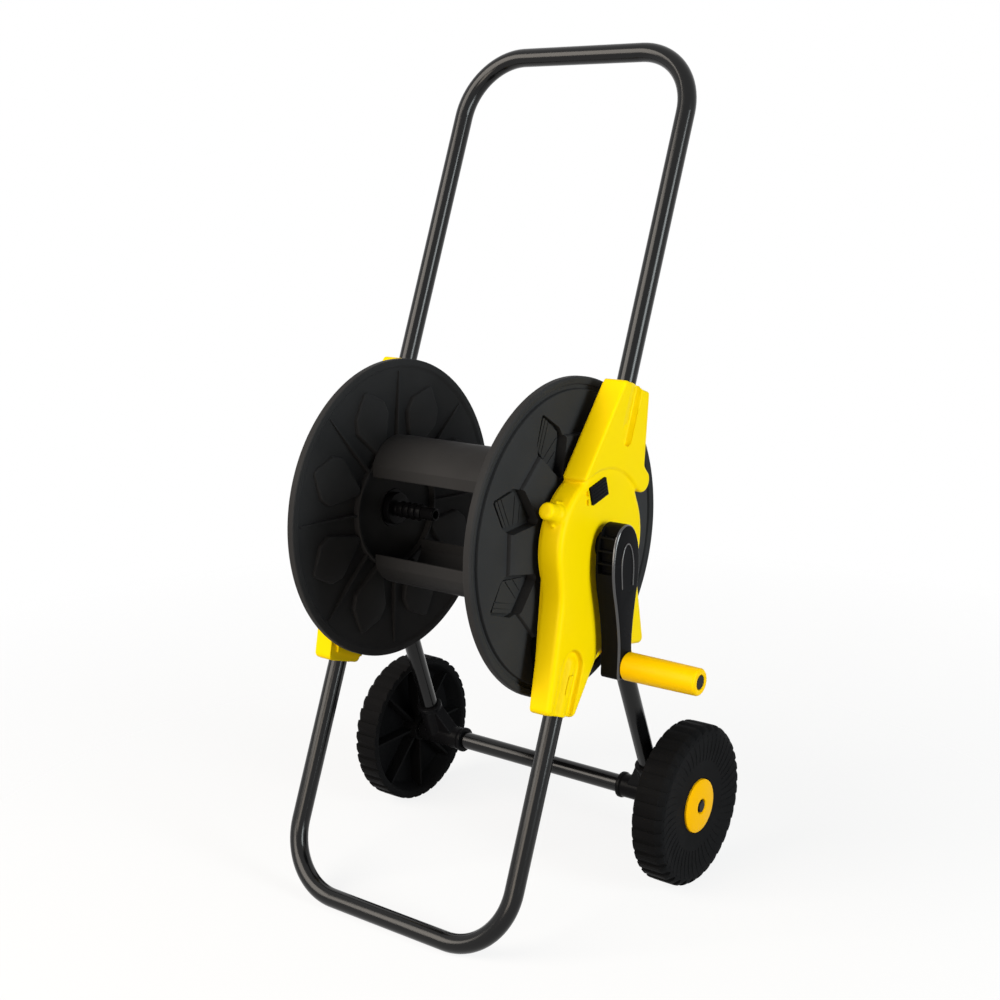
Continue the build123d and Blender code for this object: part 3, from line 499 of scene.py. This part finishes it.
def disc_outline():
    """Round middle with the lower arm and the leg arm. Its top stays hidden under the upper arm."""
    arms = [(-52.5, -50, 45), (-45.5, -64, 60), (-26, -170, 5.8), (19.5, -167, 5.8), (37.5, -101, 8),
            along_leg(106.0, -24.5) + (6,), along_leg(141.0, 32.5) + (6,), (75.5, -14, 30)]
    hidden = [(36, 66), (0, 77), (-30, 70), (-46, 59)]
    return rounded(plain(arc(DISC_R, 137, 214)) + arms + plain(arc(DISC_BACK_R, 6, 50)) + plain(hidden))


def arm_outline():
    """Upper arm, from its tube end down to the arc where it steps on to the round middle, with its ear."""
    top = [(43, 86.5, 6), (23, 156, 2.2), (8.6, 155.4, 0.6), (8.4, 158, 1.2), (-22.5, 156, 3), (-56, 50, 2.6)]
    return rounded(top + plain(arc(STEP_R, 137, 58)) + plain(arc(EAR_R, -128, 45, EAR, 10.0)))


def tube_cover(name, near, far, radius, x):
    """Half-round cover over a tube, with a domed end near the hub."""
    dome = [(near + radius * (1 - math.cos(math.radians(a))), radius * math.sin(math.radians(a)))
            for a in range(0, 91, 10)]
    return stood_up(lathe(name, dome + [(far, radius), (far, 0)], 40), x)


def upper_hollow():
    """Cutter for the hollow over the upper tube: its floor slopes down towards a steep back wall."""
    section = [(153.1, -13), (150.4, -2), (146.4, 5.8), (153.0, 9.2), (164, 9.8), (164, -13)]
    foot, top = 95, 178
    cutter = swung(prism("upper_hollow", section, foot, top), (-90, -90, 0))
    plan = rounded([(-13.5, 180, 0), (-13.5, 96, 10), (10.2, 96, 10), (10.2, 180, 0)])
    under, over = 140, 170
    combine(cutter, [prism("plan", plan, under, over)], "INTERSECT")
    return cutter


def lower_hollow():
    """Cutter for the arched hollow over the lower tube, a little wider at its mouth."""
    outline = [(21.5, 190), (-13.5, 190)] + arc(17.5, 180, 360, (4.0, 122.5), 12.0)
    floor, mouth, flare = 144.8, 159.0, 1.06
    return turned(prism("lower_hollow", outline, floor, mouth, flare), 180)


def snap_slot():
    """Thin gap round the snap tongue on the lower tube cover."""
    line = [(1.5, -126.6), (-4.2, -128.6), (-4.4, -147), (-3.5, -147), (-3.4, -129.3), (1.7, -127.4)]
    floor, over = 147.4, 160
    return prism("snap_slot", line, floor, over)


def lock_teeth():
    """Cutters for two small pointed marks beside the lock slider."""
    return [prism("tooth", corners, FACE_X - LOCK_MARK_DEPTH, FACE_X + 3) for corners in LOCK_MARKS]


def parking_peg():
    """Peg with a rounded end and a collar at its foot, drawn along X and then turned to point forward."""
    profile = [(60, 0), (60, 10.5), (72.5, 10.5), (73.5, 9.6), (75, 8.7), (84.5, 8.5)]
    profile += arc(3.5, 75, 0, (84.5, 5), 15.0) + [(88, 0)]
    web = prism("peg_web", [(-2, -12.5), (2, -12.5), (2, 12.5), (-2, 12.5)], 62, 74)
    peg = swung(joined([lathe("peg", profile, 48), web]), (0, 0, -90))
    peg.location = (LOOP_HALF, 0, PEG_Z)
    bpy.ops.object.transform_apply()
    return peg


def bracket(name, right):
    """Outer half of a side bracket, softened all over like a moulding."""
    body = prism(name, disc_outline(), SPLIT_X, FACE_X)
    round_level(body, FACE_X, FACE_EDGE, 6)
    arm = prism("arm", arm_outline(), SPLIT_X, ARM_X)
    round_level(arm, ARM_X, ARM_EDGE, 4)
    combine(arm, [upper_hollow()], "DIFFERENCE")
    combine(body, [lower_hollow()], "DIFFERENCE")
    leg = tube_cover("leg_cover", 0, LEG_COVER_TO - LEG_COVER_FROM, LEG_COVER_R, LEG_TUBE_X)
    turned(leg, 180 + LEG_TURN, (0, 0, LEG_COVER_FROM))
    lower = tube_cover("lower_cover", LOWER_COVER_FROM, LOWER_COVER_TO, LOWER_COVER_R, LOOP_HALF)
    turned(lower, 180)
    body = joined([body, arm, leg, lower] + ([parking_peg()] if right else []))
    soften(body, BRACKET_VOXEL, BRACKET_PASSES)
    cutters = [lathe("bore", BORE, 64), snap_slot()] + (lock_teeth() if right else [])
    combine(body, cutters, "DIFFERENCE")
    return body


def build_brackets():
    for side in ("right", "left"):
        shell = bracket(side + "_bracket", side == "right")
        if side == "left":
            mirrored(shell)
        settle(shell, "frame", "yellow_plastic", side + "_bracket_shell", REEL, LEAN)


# Drum flanges and slats. Profiles are corners of (x, radius, rounding).

SECTORS = 8
SCOOP_TURN = 18.5               # first scoop; the ribs lie half way between scoops
RIM_R = 157.0
RIM_IN_X, RIM_OUT_X = 104.5, 113.5
WEB_X = 111.0                   # within the flange's web, where added pieces root
PLATEAU_X, PLATEAU_FLAT, PLATEAU_EDGE = 118.5, 103.0, 4.0
COLLAR_R, COLLAR_WALL, COLLAR_X = 62.0, 3.0, 104.6
HUB_HOLE_R = 20.3
OVER_X = 130.0                  # past everything on the flange's outer side
SCORE_HALF = 0.5
# Scored lines on a tile: two ends of (across, up), and the level of the line's floor.
TILE_SCORES = [((-16.5, 103), (4, 131), 110.6), ((-14.5, 97), (8, 127), 110.2),
               ((-12, 93), (15, 103), 109.6), ((-8, 85), (12, 92), 109.0)]
SCOOP_BACK_X, SCOOP_BACK_EDGE = 105.4, 1.2
DISH = [(114.0, HUB_HOLE_R, 0), (114.0, 100, 0), (112.2, 144.4, 0.9), (109.2, 145.3, 0), (109.2, 149.0, 0.6),
        (111.4, 149.8, 0.7), (RIM_OUT_X, 155.2, 1.6), (111.6, RIM_R, 1.2), (RIM_IN_X, RIM_R, 1.4),
        (RIM_IN_X, 150.4, 0.8), (107.0, 147.5, 0.8), (110.8, 100, 0), (110.8, HUB_HOLE_R, 0)]
COLLAR = [(WEB_X, COLLAR_R, 0), (COLLAR_X, COLLAR_R, 0.7), (COLLAR_X, COLLAR_R - COLLAR_WALL, 0.7),
          (WEB_X, COLLAR_R - COLLAR_WALL, 0)]
SLAT_HALF = 104.0
SLAT_SMOOTH = 20.0


def flange_dish(name):
    """Turned part of a flange: sloping rim band, groove, and a face that rises towards the middle."""
    return lathe(name, rounded(DISH, 15.0), 160)


def octagon():
    """Raised middle of a flange, with a corner at each scoop."""
    corner = PLATEAU_FLAT / math.cos(math.pi / SECTORS)
    angles = [math.radians(SCOOP_TURN + 360.0 * k / SECTORS) for k in range(SECTORS)]
    return [(corner * math.cos(a), corner * math.sin(a)) for a in angles]


def scoop_cutter():
    """Deep kite-shaped notch across a corner of the octagon."""
    plan = rounded([(0, 63.5, 4), (21.5, 100.5, 3), (19.2, 112, 4), (1.5, 134, 1), (-1.5, 134, 1),
                    (-19.2, 112, 4), (-21.5, 100.5, 3)])
    floor = 107.2
    return prism("scoop", plan, floor, OVER_X)


def tile_score(start, end, floor):
    """Cutter for one fine scored line across a tile, between two places of (across, up)."""
    a, b = Vector(start), Vector(end)
    side = (b - a).orthogonal().normalized() * SCORE_HALF
    return prism("score", [tuple(p) for p in (a + side, b + side, b - side, a - side)], floor, OVER_X)


def scoop_tile():
    """Kite-shaped scored tile in a notch, flush with the face at the rim and deep near the hub."""
    side = [(134, 106.6), (134, 112.8), (69, 108.6), (69, 106.6)]
    half = 20
    tile = swung(prism("tile", side, -half, half), (90, 0, 90))
    plan = rounded([(0, 71, 2), (17.6, 107.5, 3), (0, 132.4, 1.5), (-17.6, 107.5, 3)])
    under = 100
    combine(tile, [prism("plan", plan, under, OVER_X)], "INTERSECT")
    combine(tile, [tile_score(*score) for score in TILE_SCORES], "DIFFERENCE")
    return tile


def scoop_back():
    """Rounded swelling behind a scoop, on the drum side."""
    corners = rounded([(0, 57, 5), (25.5, 100, 6), (23, 116, 6), (0, 138, 5), (-23, 116, 6), (-25.5, 100, 6)])
    root, draft = 111.2, 0.96
    back = prism("scoop_back", corners, root, SCOOP_BACK_X, draft)
    round_level(back, SCOOP_BACK_X, SCOOP_BACK_EDGE, 3)
    return back


def flange(name):
    """Dish with its raised octagon, scoops and tiles outside, and ribs and a collar on the drum side."""
    body = flange_dish(name)
    plateau = prism("plateau", octagon(), WEB_X, PLATEAU_X)
    round_level(plateau, PLATEAU_X, PLATEAU_EDGE, 2)
    hole = lathe("hole", [(100, 0), (100, HUB_HOLE_R), (125, HUB_HOLE_R), (125, 0)], 64)
    combine(plateau, [hole], "DIFFERENCE")
    combine(body, [plateau, ring_of(scoop_back(), SECTORS, SCOOP_TURN)], "UNION")
    combine(body, [ring_of(scoop_cutter(), SECTORS, SCOOP_TURN)], "DIFFERENCE")
    tiles = ring_of(scoop_tile(), SECTORS, SCOOP_TURN)
    rib_edge = 106.0
    rib = prism("rib", [(60.5, -1.2), (144.6, -0.9), (144.6, 0.9), (60.5, 1.2)], WEB_X, rib_edge)
    ribs = ring_of(rib, SECTORS, SCOOP_TURN + 180.0 / SECTORS)
    collar = lathe("collar", rounded(COLLAR, 30.0), 96)
    return joined([body, tiles, ribs, collar])


def slat_section():
    """Arched channel: a crown with two straight lips."""
    crown = arc(41.5, 158.1, 21.9, (0, 37.5), 3.0)
    under = arc(38.25, 21.9, 158.1, (0, 37.75), 3.0)
    right_lip = [(38.5, 41, 1.2), (35.5, 41, 1.2)]
    left_lip = [(-35.5, 41, 1.2), (-38.5, 41, 1.2)]
    return rounded(plain(crown) + right_lip + plain(under) + left_lip)


def slat(name, turn, node):
    piece = turned(prism(name, slat_section(), -SLAT_HALF, SLAT_HALF), turn)
    settle(piece, "reel", "grey_plastic", node, REEL, smooth=SLAT_SMOOTH)


def build_drum():
    right = flange("right_drum_flange")
    left = mirrored(flange("left_drum_flange"))
    settle(right, "reel", "grey_plastic", "right_flange", REEL)
    settle(left, "reel", "grey_plastic", "left_flange", REEL)
    slat("upper_drum_slat", 0, "upper_slat")
    slat("lower_drum_slat", 180, "lower_slat")


# Crank

CRANK_SIDE = [(10.8, -129), (9.9, -98), (11.3, -82), (13.8, -67), (16.8, -53), (20.4, -38), (22.6, -22),
              (21.9, -6), (18.0, 9), (10.6, 19.3)]
CRANK_TOP = (0, 23)
CRANK_FLARE, FLARE_FROM, FLARE_LENGTH = 3.2, -20, 109  # the front side widens towards the grip
CRANK_CORNER_R, CRANK_EDGE = 5.2, 2.8
# Floor, low end and high end of each window.
WINDOWS = [(8.5, 12.5, 22.0), (14.5, 0.6, 11.0), (14.5, -11.2, -1.0), (14.5, -22.0, -12.8)]
WINDOW_R, WINDOW_OUT, WINDOW_BACK_WALL = 0.8, 40, 1.8
CAP_HALF, CAP_FOOT_HALF, CAP_LOW, CAP_ARCH_AT, CAP_ARCH = 10.9, 9.6, -43.5, -22, 27
CAP_THICK, CAP_GAP = 3.0, 0.08
BEAD_OUT, BEAD_IN, BEAD_HEIGHT, BEAD_EDGE = 0.3, -1.3, 0.9, 0.55
BEAD_GAP = [(-20, -60), (20, -60), (20, -38), (-20, -38)]
GRIP = [(179.4, 4.1, 0), (179.4, 13.9, 1.6), (219, 13.7, 0), (260, 13.2, 3.2), (260, 7.2, 1.2),
        (254.5, 6.9, 0), (254.5, 4.1, 0)]
SPINDLE = [(108, 0, 0), (108, 19.9, 0), (118.6, 19.9, 0), (118.6, 44, 0), (121.6, 44, 1.2), (121.6, 22.5, 2),
           (124.5, 19.9, 1), (149.0, 19.9, 1), (149.0, 12.5, 0), (159, 12.5, 0), (159, 0, 0)]


def flowing(points, parts=5):
    """Smooth line through points."""
    line = []
    for k in range(len(points) - 1):
        a, b, c, d = (Vector(points[min(max(n, 0), len(points) - 1)]) for n in range(k - 1, k + 3))
        for n in range(parts):
            t = n / parts
            bend = (a * 2 - b * 5 + c * 4 - d) * t ** 2 + (b * 3 - a - c * 3 + d) * t ** 3
            line.append(tuple((b * 2 + (c - a) * t + bend) / 2))
    return line + [tuple(points[-1])]


def crank_outline():
    """Long oval head that narrows smoothly to the grip end."""
    front = [(-a - CRANK_FLARE * max(0.0, (FLARE_FROM - b) / FLARE_LENGTH), b) for a, b in CRANK_SIDE]
    line = flowing(front + [CRANK_TOP] + CRANK_SIDE[::-1])
    corner = (CRANK_CORNER_R,)
    return rounded([line[0] + corner] + plain(line[2:-2]) + [line[-1] + corner])


def cap_outline(grow=0.0):
    """Long arch, open towards the grip."""
    half, foot, low = CAP_HALF + grow, CAP_FOOT_HALF + grow, CAP_LOW - grow
    angles = [math.radians(a) for a in range(180, -1, -10)]
    top = [(half * math.cos(a), CAP_ARCH_AT + (CAP_ARCH + grow) * math.sin(a)) for a in angles]
    return rounded(plain(top) + [(foot, low, 2), (-foot, low, 2)])


def arch_bead():
    """Fine raised line in the shape of an arch, open towards the grip."""
    top = CRANK_FRONT + BEAD_HEIGHT
    bead = prism("bead", cap_outline(BEAD_OUT), CRANK_FRONT - 1, top)
    under, over = CRANK_FRONT - 2, CRANK_FRONT + 2
    combine(bead, [prism("within", cap_outline(BEAD_IN), under, over)], "DIFFERENCE")
    combine(bead, [prism("gap", BEAD_GAP, under, over)], "DIFFERENCE")
    round_level(bead, top, BEAD_EDGE, 3)
    return bead


def crank_windows():
    """Cutters for the row of pockets down both sides of the crank's head."""
    cutters = []
    back, front = CRANK_BACK + WINDOW_BACK_WALL, CRANK_FRONT - CRANK_EDGE
    for floor, low, high in WINDOWS:
        for side in (-1, 1):
            corners = [(side * floor, low, WINDOW_R), (side * WINDOW_OUT, low, 0),
                       (side * WINDOW_OUT, high, 0), (side * floor, high, WINDOW_R)]
            cutters.append(prism("window", rounded(corners), back, front))
    return cutters


def build_crank():
    arm = prism("crank", crank_outline(), CRANK_BACK, CRANK_FRONT)
    round_level(arm, CRANK_FRONT, CRANK_EDGE, 6)
    pocket = prism("pocket", cap_outline(CAP_GAP), CRANK_FRONT - CAP_THICK - 0.1, CRANK_FRONT + 5)
    combine(arm, [pocket] + crank_windows(), "DIFFERENCE")
    settle(arm, "reel", "black_plastic", "crank_arm", REEL, finish="crank_plastic")
    cap = joined([prism("cap", cap_outline(), CRANK_FRONT - CAP_THICK, CRANK_FRONT), arch_bead()])
    settle(cap, "reel", "black_plastic", "crank_cap", REEL, finish="crank_plastic")
    grip = lathe("grip", rounded(GRIP, 12.0), 72)
    settle(grip, "grip", "grip_plastic", "crank_grip", HAND)


def build_spindle():
    """Drive spindle: plate on the flange, journal in the bracket, and a slimmer neck that holds the crank."""
    spindle = lathe("spindle", rounded(SPINDLE, 15.0), 72)
    settle(spindle, "reel", "black_plastic", "drive_spindle", REEL)


# Drum lock

# Half of each side of the diamond, and its middle.
LOCK_LONG, LOCK_SHORT = Vector((22.4, 15.9)) / 2, Vector((-11.0, 14.7)) / 2
LOCK_MIDDLE = Vector((-28.2, 46.4))
LOCK_BACK_X, LOCK_TOP_X = 151.2, 153.4
LOCK_CORNER_R, LOCK_EDGE = 1.0, 0.6
DOT_R, DOT_FOOT_X, DOT_TOP_X, DOT_TAPER = 1.05, 153.2, 154.1, 0.6
DOT_ALONG, DOT_ACROSS = 0.21, 0.36  # spacing, as a share of the half sides


def build_lock():
    """Diamond slider with rows of raised dots."""
    signs = ((1, 1), (1, -1), (-1, -1), (-1, 1))
    corners = [LOCK_MIDDLE + LOCK_LONG * a + LOCK_SHORT * b for a, b in signs]
    button = prism("lock", rounded([(c.x, c.y, LOCK_CORNER_R) for c in corners]), LOCK_BACK_X, LOCK_TOP_X)
    round_level(button, LOCK_TOP_X, LOCK_EDGE, 3)
    dots = []
    for row in range(-2, 3):
        for column in range(-4, 5):
            spot = LOCK_MIDDLE + LOCK_LONG * (column * DOT_ALONG) + LOCK_SHORT * (row * DOT_ACROSS)
            rim = arc(DOT_R, 0, 330, (spot.x, spot.y), 30.0)
            dots.append(prism("dot", rim, DOT_FOOT_X, DOT_TOP_X, DOT_TAPER))
    button = joined([button] + dots)
    settle(button, "drum_lock", "black_plastic", "drum_lock_slider", REEL, LEAN)


# Wheels

WHEEL_R = 84.4
LUGS, RIBS, SPOKES = 36, 48, 8
LUG_GROOVE = [(-0.7, 5.0), (0.0, -2.3), (0.9, -2.3), (9.5, 0.0), (9.5, 5.0)]  # across, and up from the tread
TREAD_FROM, TREAD_TO = 165, 210
SHOULDER_X, SHOULDER_R, SHOULDER_HALF, SHOULDER_TILT = 199.8, 82.4, 9, 40
RIB_FROM, RIB_STEP, RIB_POINTS = 47, 3.6, 9
RIB_BEND, RIB_HALF, RIB_SPREAD = 0.096, 0.3, 0.07
RIB_ROOT_X, RIB_TOP_X, RIB_TAPER = 199.0, 201.0, 0.97
RIB_PIVOT, RIB_TILT = (200.7, 46, 0), -4.4
SPOKE_BACK_X, SPOKE_FRONT_X = 174.5, 190.0
WHEEL = [(169, 5.1, 0), (169, 14, 1), (189, 14, 2), (189, 68, 3), (172.4, 75.4, 1.5), (170.7, 77.4, 1),
         (170.7, 84.2, 1.2), (180, WHEEL_R, 0), (197.4, WHEEL_R, 5), (202.2, 80.4, 4), (203.0, 74, 4),
         (201.8, 62, 12), (200.7, 46, 0), (200.2, 29.4, 0.8), (199.4, 28.5, 0), (195, 28.5, 0), (195, 5.1, 0)]
HUB_CAP = [(195, 7.6, 0), (195, 28.2, 0), (201.6, 28.2, 1.0), (202.9, 24.6, 6), (203.7, 13, 0),
           (203.8, 8.3, 0.7), (202.6, 7.6, 0)]


def tread_groove():
    """Cutter for one groove across the tread: steep on one side and long on the other, so the lugs lap."""
    return prism("groove", [(a, WHEEL_R + h) for a, h in LUG_GROOVE], TREAD_FROM, TREAD_TO)


def shoulder_groove():
    """Cutter that carries a tread groove over the rounded outer shoulder."""
    outline = [(a, SHOULDER_R + h) for a, h in LUG_GROOVE]
    cutter = prism("shoulder", outline, SHOULDER_X - SHOULDER_HALF, SHOULDER_X + SHOULDER_HALF)
    return swung(cutter, (0, SHOULDER_TILT, 0), (SHOULDER_X, 0, SHOULDER_R))


def side_rib():
    """One fine curved rib of the side wall, which fades out towards the hub."""
    right, left = [], []
    for k in range(RIB_POINTS):
        r = RIB_FROM + RIB_STEP * k
        middle = r * math.radians(RIB_BEND * k * k)
        half = RIB_HALF + RIB_SPREAD * k
        right.append((r, middle + half))
        left.append((r, middle - half))
    piece = prism("side_rib", right + left[::-1], RIB_ROOT_X, RIB_TOP_X, RIB_TAPER)
    return swung(piece, (0, 0, RIB_TILT), RIB_PIVOT)


def wheel(name):
    """Wheel moulded in one: lapped lugs on the tread, ribs on the outer side and spokes on the inner one."""
    body = lathe(name, rounded(WHEEL, 12.0), 144)
    combine(body, [ring_of(tread_groove(), LUGS), ring_of(shoulder_groove(), LUGS)], "DIFFERENCE")
    spoke = prism("spoke", [(13, -1.5), (73, -1.2), (73, 1.2), (13, 1.5)], SPOKE_BACK_X, SPOKE_FRONT_X)
    return joined([body, ring_of(side_rib(), RIBS), ring_of(spoke, SPOKES)])


def build_wheels():
    for side in ("right", "left"):
        tyre = wheel(side + "_tread_wheel")
        cap = lathe(side + "_cap", rounded(HUB_CAP, 12.0), 96)
        if side == "left":
            mirrored(tyre)
            mirrored(cap)
        settle(tyre, side + "_wheel_body", "wheel_plastic", side + "_wheel", AXLE)
        settle(cap, side + "_wheel_body", "cap_plastic", side + "_hub_cap", AXLE)


# Leg connectors and the nipple inside the drum

LEG_SPREAD = 1.66
LEG_FOOT_X = 148.0
SLEEVE = [(105.5, 0, 0), (105.5, 13.9, 1), (110.5, 13.9, 1), (110.5, 12.5, 0.3), (166.5, 12.5, 1.5),
          (166.5, 0, 0)]
LEG_SOCKET = [(0, 0, 0), (0, 12.4, 0), (36.5, 12.4, 0), (37.5, 13.9, 0.8), (42, 13.9, 1), (42, 0, 0)]
GUSSET = [(134, 37), (119, 9), (119, 0), (LEG_FOOT_X, 0), (LEG_FOOT_X, 37)]
GUSSET_HALF = 7
CONNECTOR_VOXEL, CONNECTOR_PASSES = 0.7, 4
BARBS, BARB_FROM, BARB_PITCH, BARB_LONG = 4, 70, 8, 5
NIPPLE_R = 6.5
NIPPLE_TIP = [(54, 4, 0.6), (54, NIPPLE_R, 1)]
NIPPLE_FOOT = [(104, NIPPLE_R, 2), (104, 17, 1), (110, 17, 0), (110, 10, 0), (118, 10, 0), (118, 4, 0)]


def connector(name):
    """Tee with a lip on each mouth and a web in its corner."""
    sleeve = lathe(name, rounded(SLEEVE), 64)
    leg = stood_up(lathe("leg_socket", rounded(LEG_SOCKET), 64), LEG_FOOT_X, LEG_SPREAD)
    gusset = draw("gusset", [(x, -GUSSET_HALF, z) for x, z in GUSSET])
    thicken((0, 2 * GUSSET_HALF, 0))
    tidy_skin()
    body = joined([sleeve, leg, gusset])
    soften(body, CONNECTOR_VOXEL, CONNECTOR_PASSES)
    return body


def build_connectors():
    for side in ("right", "left"):
        piece = connector(side + "_connector")
        if side == "left":
            mirrored(piece)
        settle(piece, "frame", "black_plastic", side + "_leg_connector", AXLE, -LEG_ANGLE)


def build_outlet():
    """Barbed hose nipple that points into the drum from the left flange."""
    barbs = []
    for k in range(BARBS):
        tip = BARB_FROM + BARB_PITCH * k
        heel = tip + BARB_LONG
        barbs += [(tip, NIPPLE_R, 0), (tip, 7.6, 0.5), (heel, 9, 0.6), (heel, NIPPLE_R, 0)]
    outlet = lathe("outlet", rounded(NIPPLE_TIP + barbs + NIPPLE_FOOT, 15.0), 72)
    settle(mirrored(outlet), "reel", "black_plastic", "outlet_nipple", REEL)


# Studio, in metres

FLOOR_R = 3.0
FLOOR_SOLID, FLOOR_CLEAR = 0.35, 1.3    # the floor fades out between these distances
FLOOR_GLOW = 0.85
FLOOR_ROUGHNESS, FLOOR_SPECULAR = 0.9, 0.1
SURROUND = 0.1
LAMP_AIM = Vector((0, 0, 0.42))
# Each lamp: name, place, width, height, power and tint.
LAMPS = [("key", (2.4, -0.15, 0.9), 0.8, 1.6, 53, (0.92, 1.0, 1.0)),
         ("front_left", (-1.05, -2.2, 1.7), 2.0, 1.9, 90, (1.0, 0.92, 0.82)),
         ("low_front", (0.4, -2.4, 0.6), 1.0, 0.8, 16, (1.0, 0.88, 0.74))]


def seen_by(tree, ray):
    """One for the rays that see the white background: straight, mirrored, or through something clear."""
    bent = {0: ray["Is Glossy Ray"], 1: ray["Is Transmission Ray"]}
    mirror = add(tree, "ShaderNodeMath", bent, operation="MAXIMUM")
    either = {0: ray["Is Camera Ray"], 1: mirror.outputs[0]}
    return add(tree, "ShaderNodeMath", either, operation="MAXIMUM").outputs[0]


def white_floor():
    """Pale floor that keeps the shadow near the cart and melts into the white surround further out."""
    bpy.ops.mesh.primitive_circle_add(vertices=96, radius=FLOOR_R, fill_type="NGON", location=(0, 0, 0))
    floor = bpy.context.object
    floor.name = "studio_floor"
    material, tree, shader, place = blank("floor_paper")
    shader.inputs["Roughness"].default_value = FLOOR_ROUGHNESS
    shader.inputs["Specular IOR Level"].default_value = FLOOR_SPECULAR
    reach = add(tree, "ShaderNodeVectorMath", {0: place}, operation="LENGTH").outputs["Value"]
    fade = add(tree, "ShaderNodeMapRange", {"Value": reach, "From Min": FLOOR_SOLID, "From Max": FLOOR_CLEAR})
    seen = seen_by(tree, add(tree, "ShaderNodeLightPath").outputs)
    shades = {"Factor": seen, MIX_FIRST: linear("#9a9a9a"), MIX_SECOND: linear("#fafafa")}
    paper = add(tree, "ShaderNodeMix", shades, data_type="RGBA")
    tree.links.new(paper.outputs[MIX_RESULT], shader.inputs["Base Color"])
    glow = add(tree, "ShaderNodeEmission", {"Strength": 1.0}).outputs[0]
    share = add(tree, "ShaderNodeMath", {0: seen, 1: FLOOR_GLOW}, operation="MULTIPLY").outputs[0]
    pale = add(tree, "ShaderNodeMixShader", {0: share, 1: shader.outputs[0], 2: glow}).outputs[0]
    clear = add(tree, "ShaderNodeBsdfTransparent").outputs[0]
    blend = add(tree, "ShaderNodeMixShader", {0: fade.outputs["Result"], 1: pale, 2: clear})
    tree.links.new(blend.outputs[0], tree.nodes["Material Output"].inputs["Surface"])
    floor.data.materials.append(material)


def white_surround():
    """World that the camera and reflections see as white, and that fills the shadows at a plain level."""
    world = bpy.data.worlds.new("studio_white")
    bpy.context.scene.world = world
    world.use_nodes = True
    tree = world.node_tree
    seen = seen_by(tree, add(tree, "ShaderNodeLightPath").outputs)
    level = add(tree, "ShaderNodeMapRange", {"Value": seen, "To Min": SURROUND, "To Max": 1.0})
    tree.links.new(level.outputs["Result"], tree.nodes["Background"].inputs["Strength"])
    tree.nodes["Background"].inputs["Color"].default_value = (1, 1, 1, 1)


def light_studio():
    for name, place, width, height, power, tint in LAMPS:
        bpy.ops.object.light_add(type="AREA", location=place)
        lamp = bpy.context.object
        lamp.name = name
        lamp.data.shape = "RECTANGLE"
        lamp.data.size = width
        lamp.data.size_y = height
        lamp.data.energy = power
        lamp.data.color = tint
        lamp.rotation_euler = (LAMP_AIM - Vector(place)).to_track_quat("-Z", "Y").to_euler()


add_camera()
dress_frame()
build_brackets()
build_drum()
build_crank()
build_spindle()
build_lock()
build_wheels()
build_connectors()
build_outlet()
white_floor()
white_surround()
light_studio()
bpy.context.scene.view_settings.view_transform = "Standard"
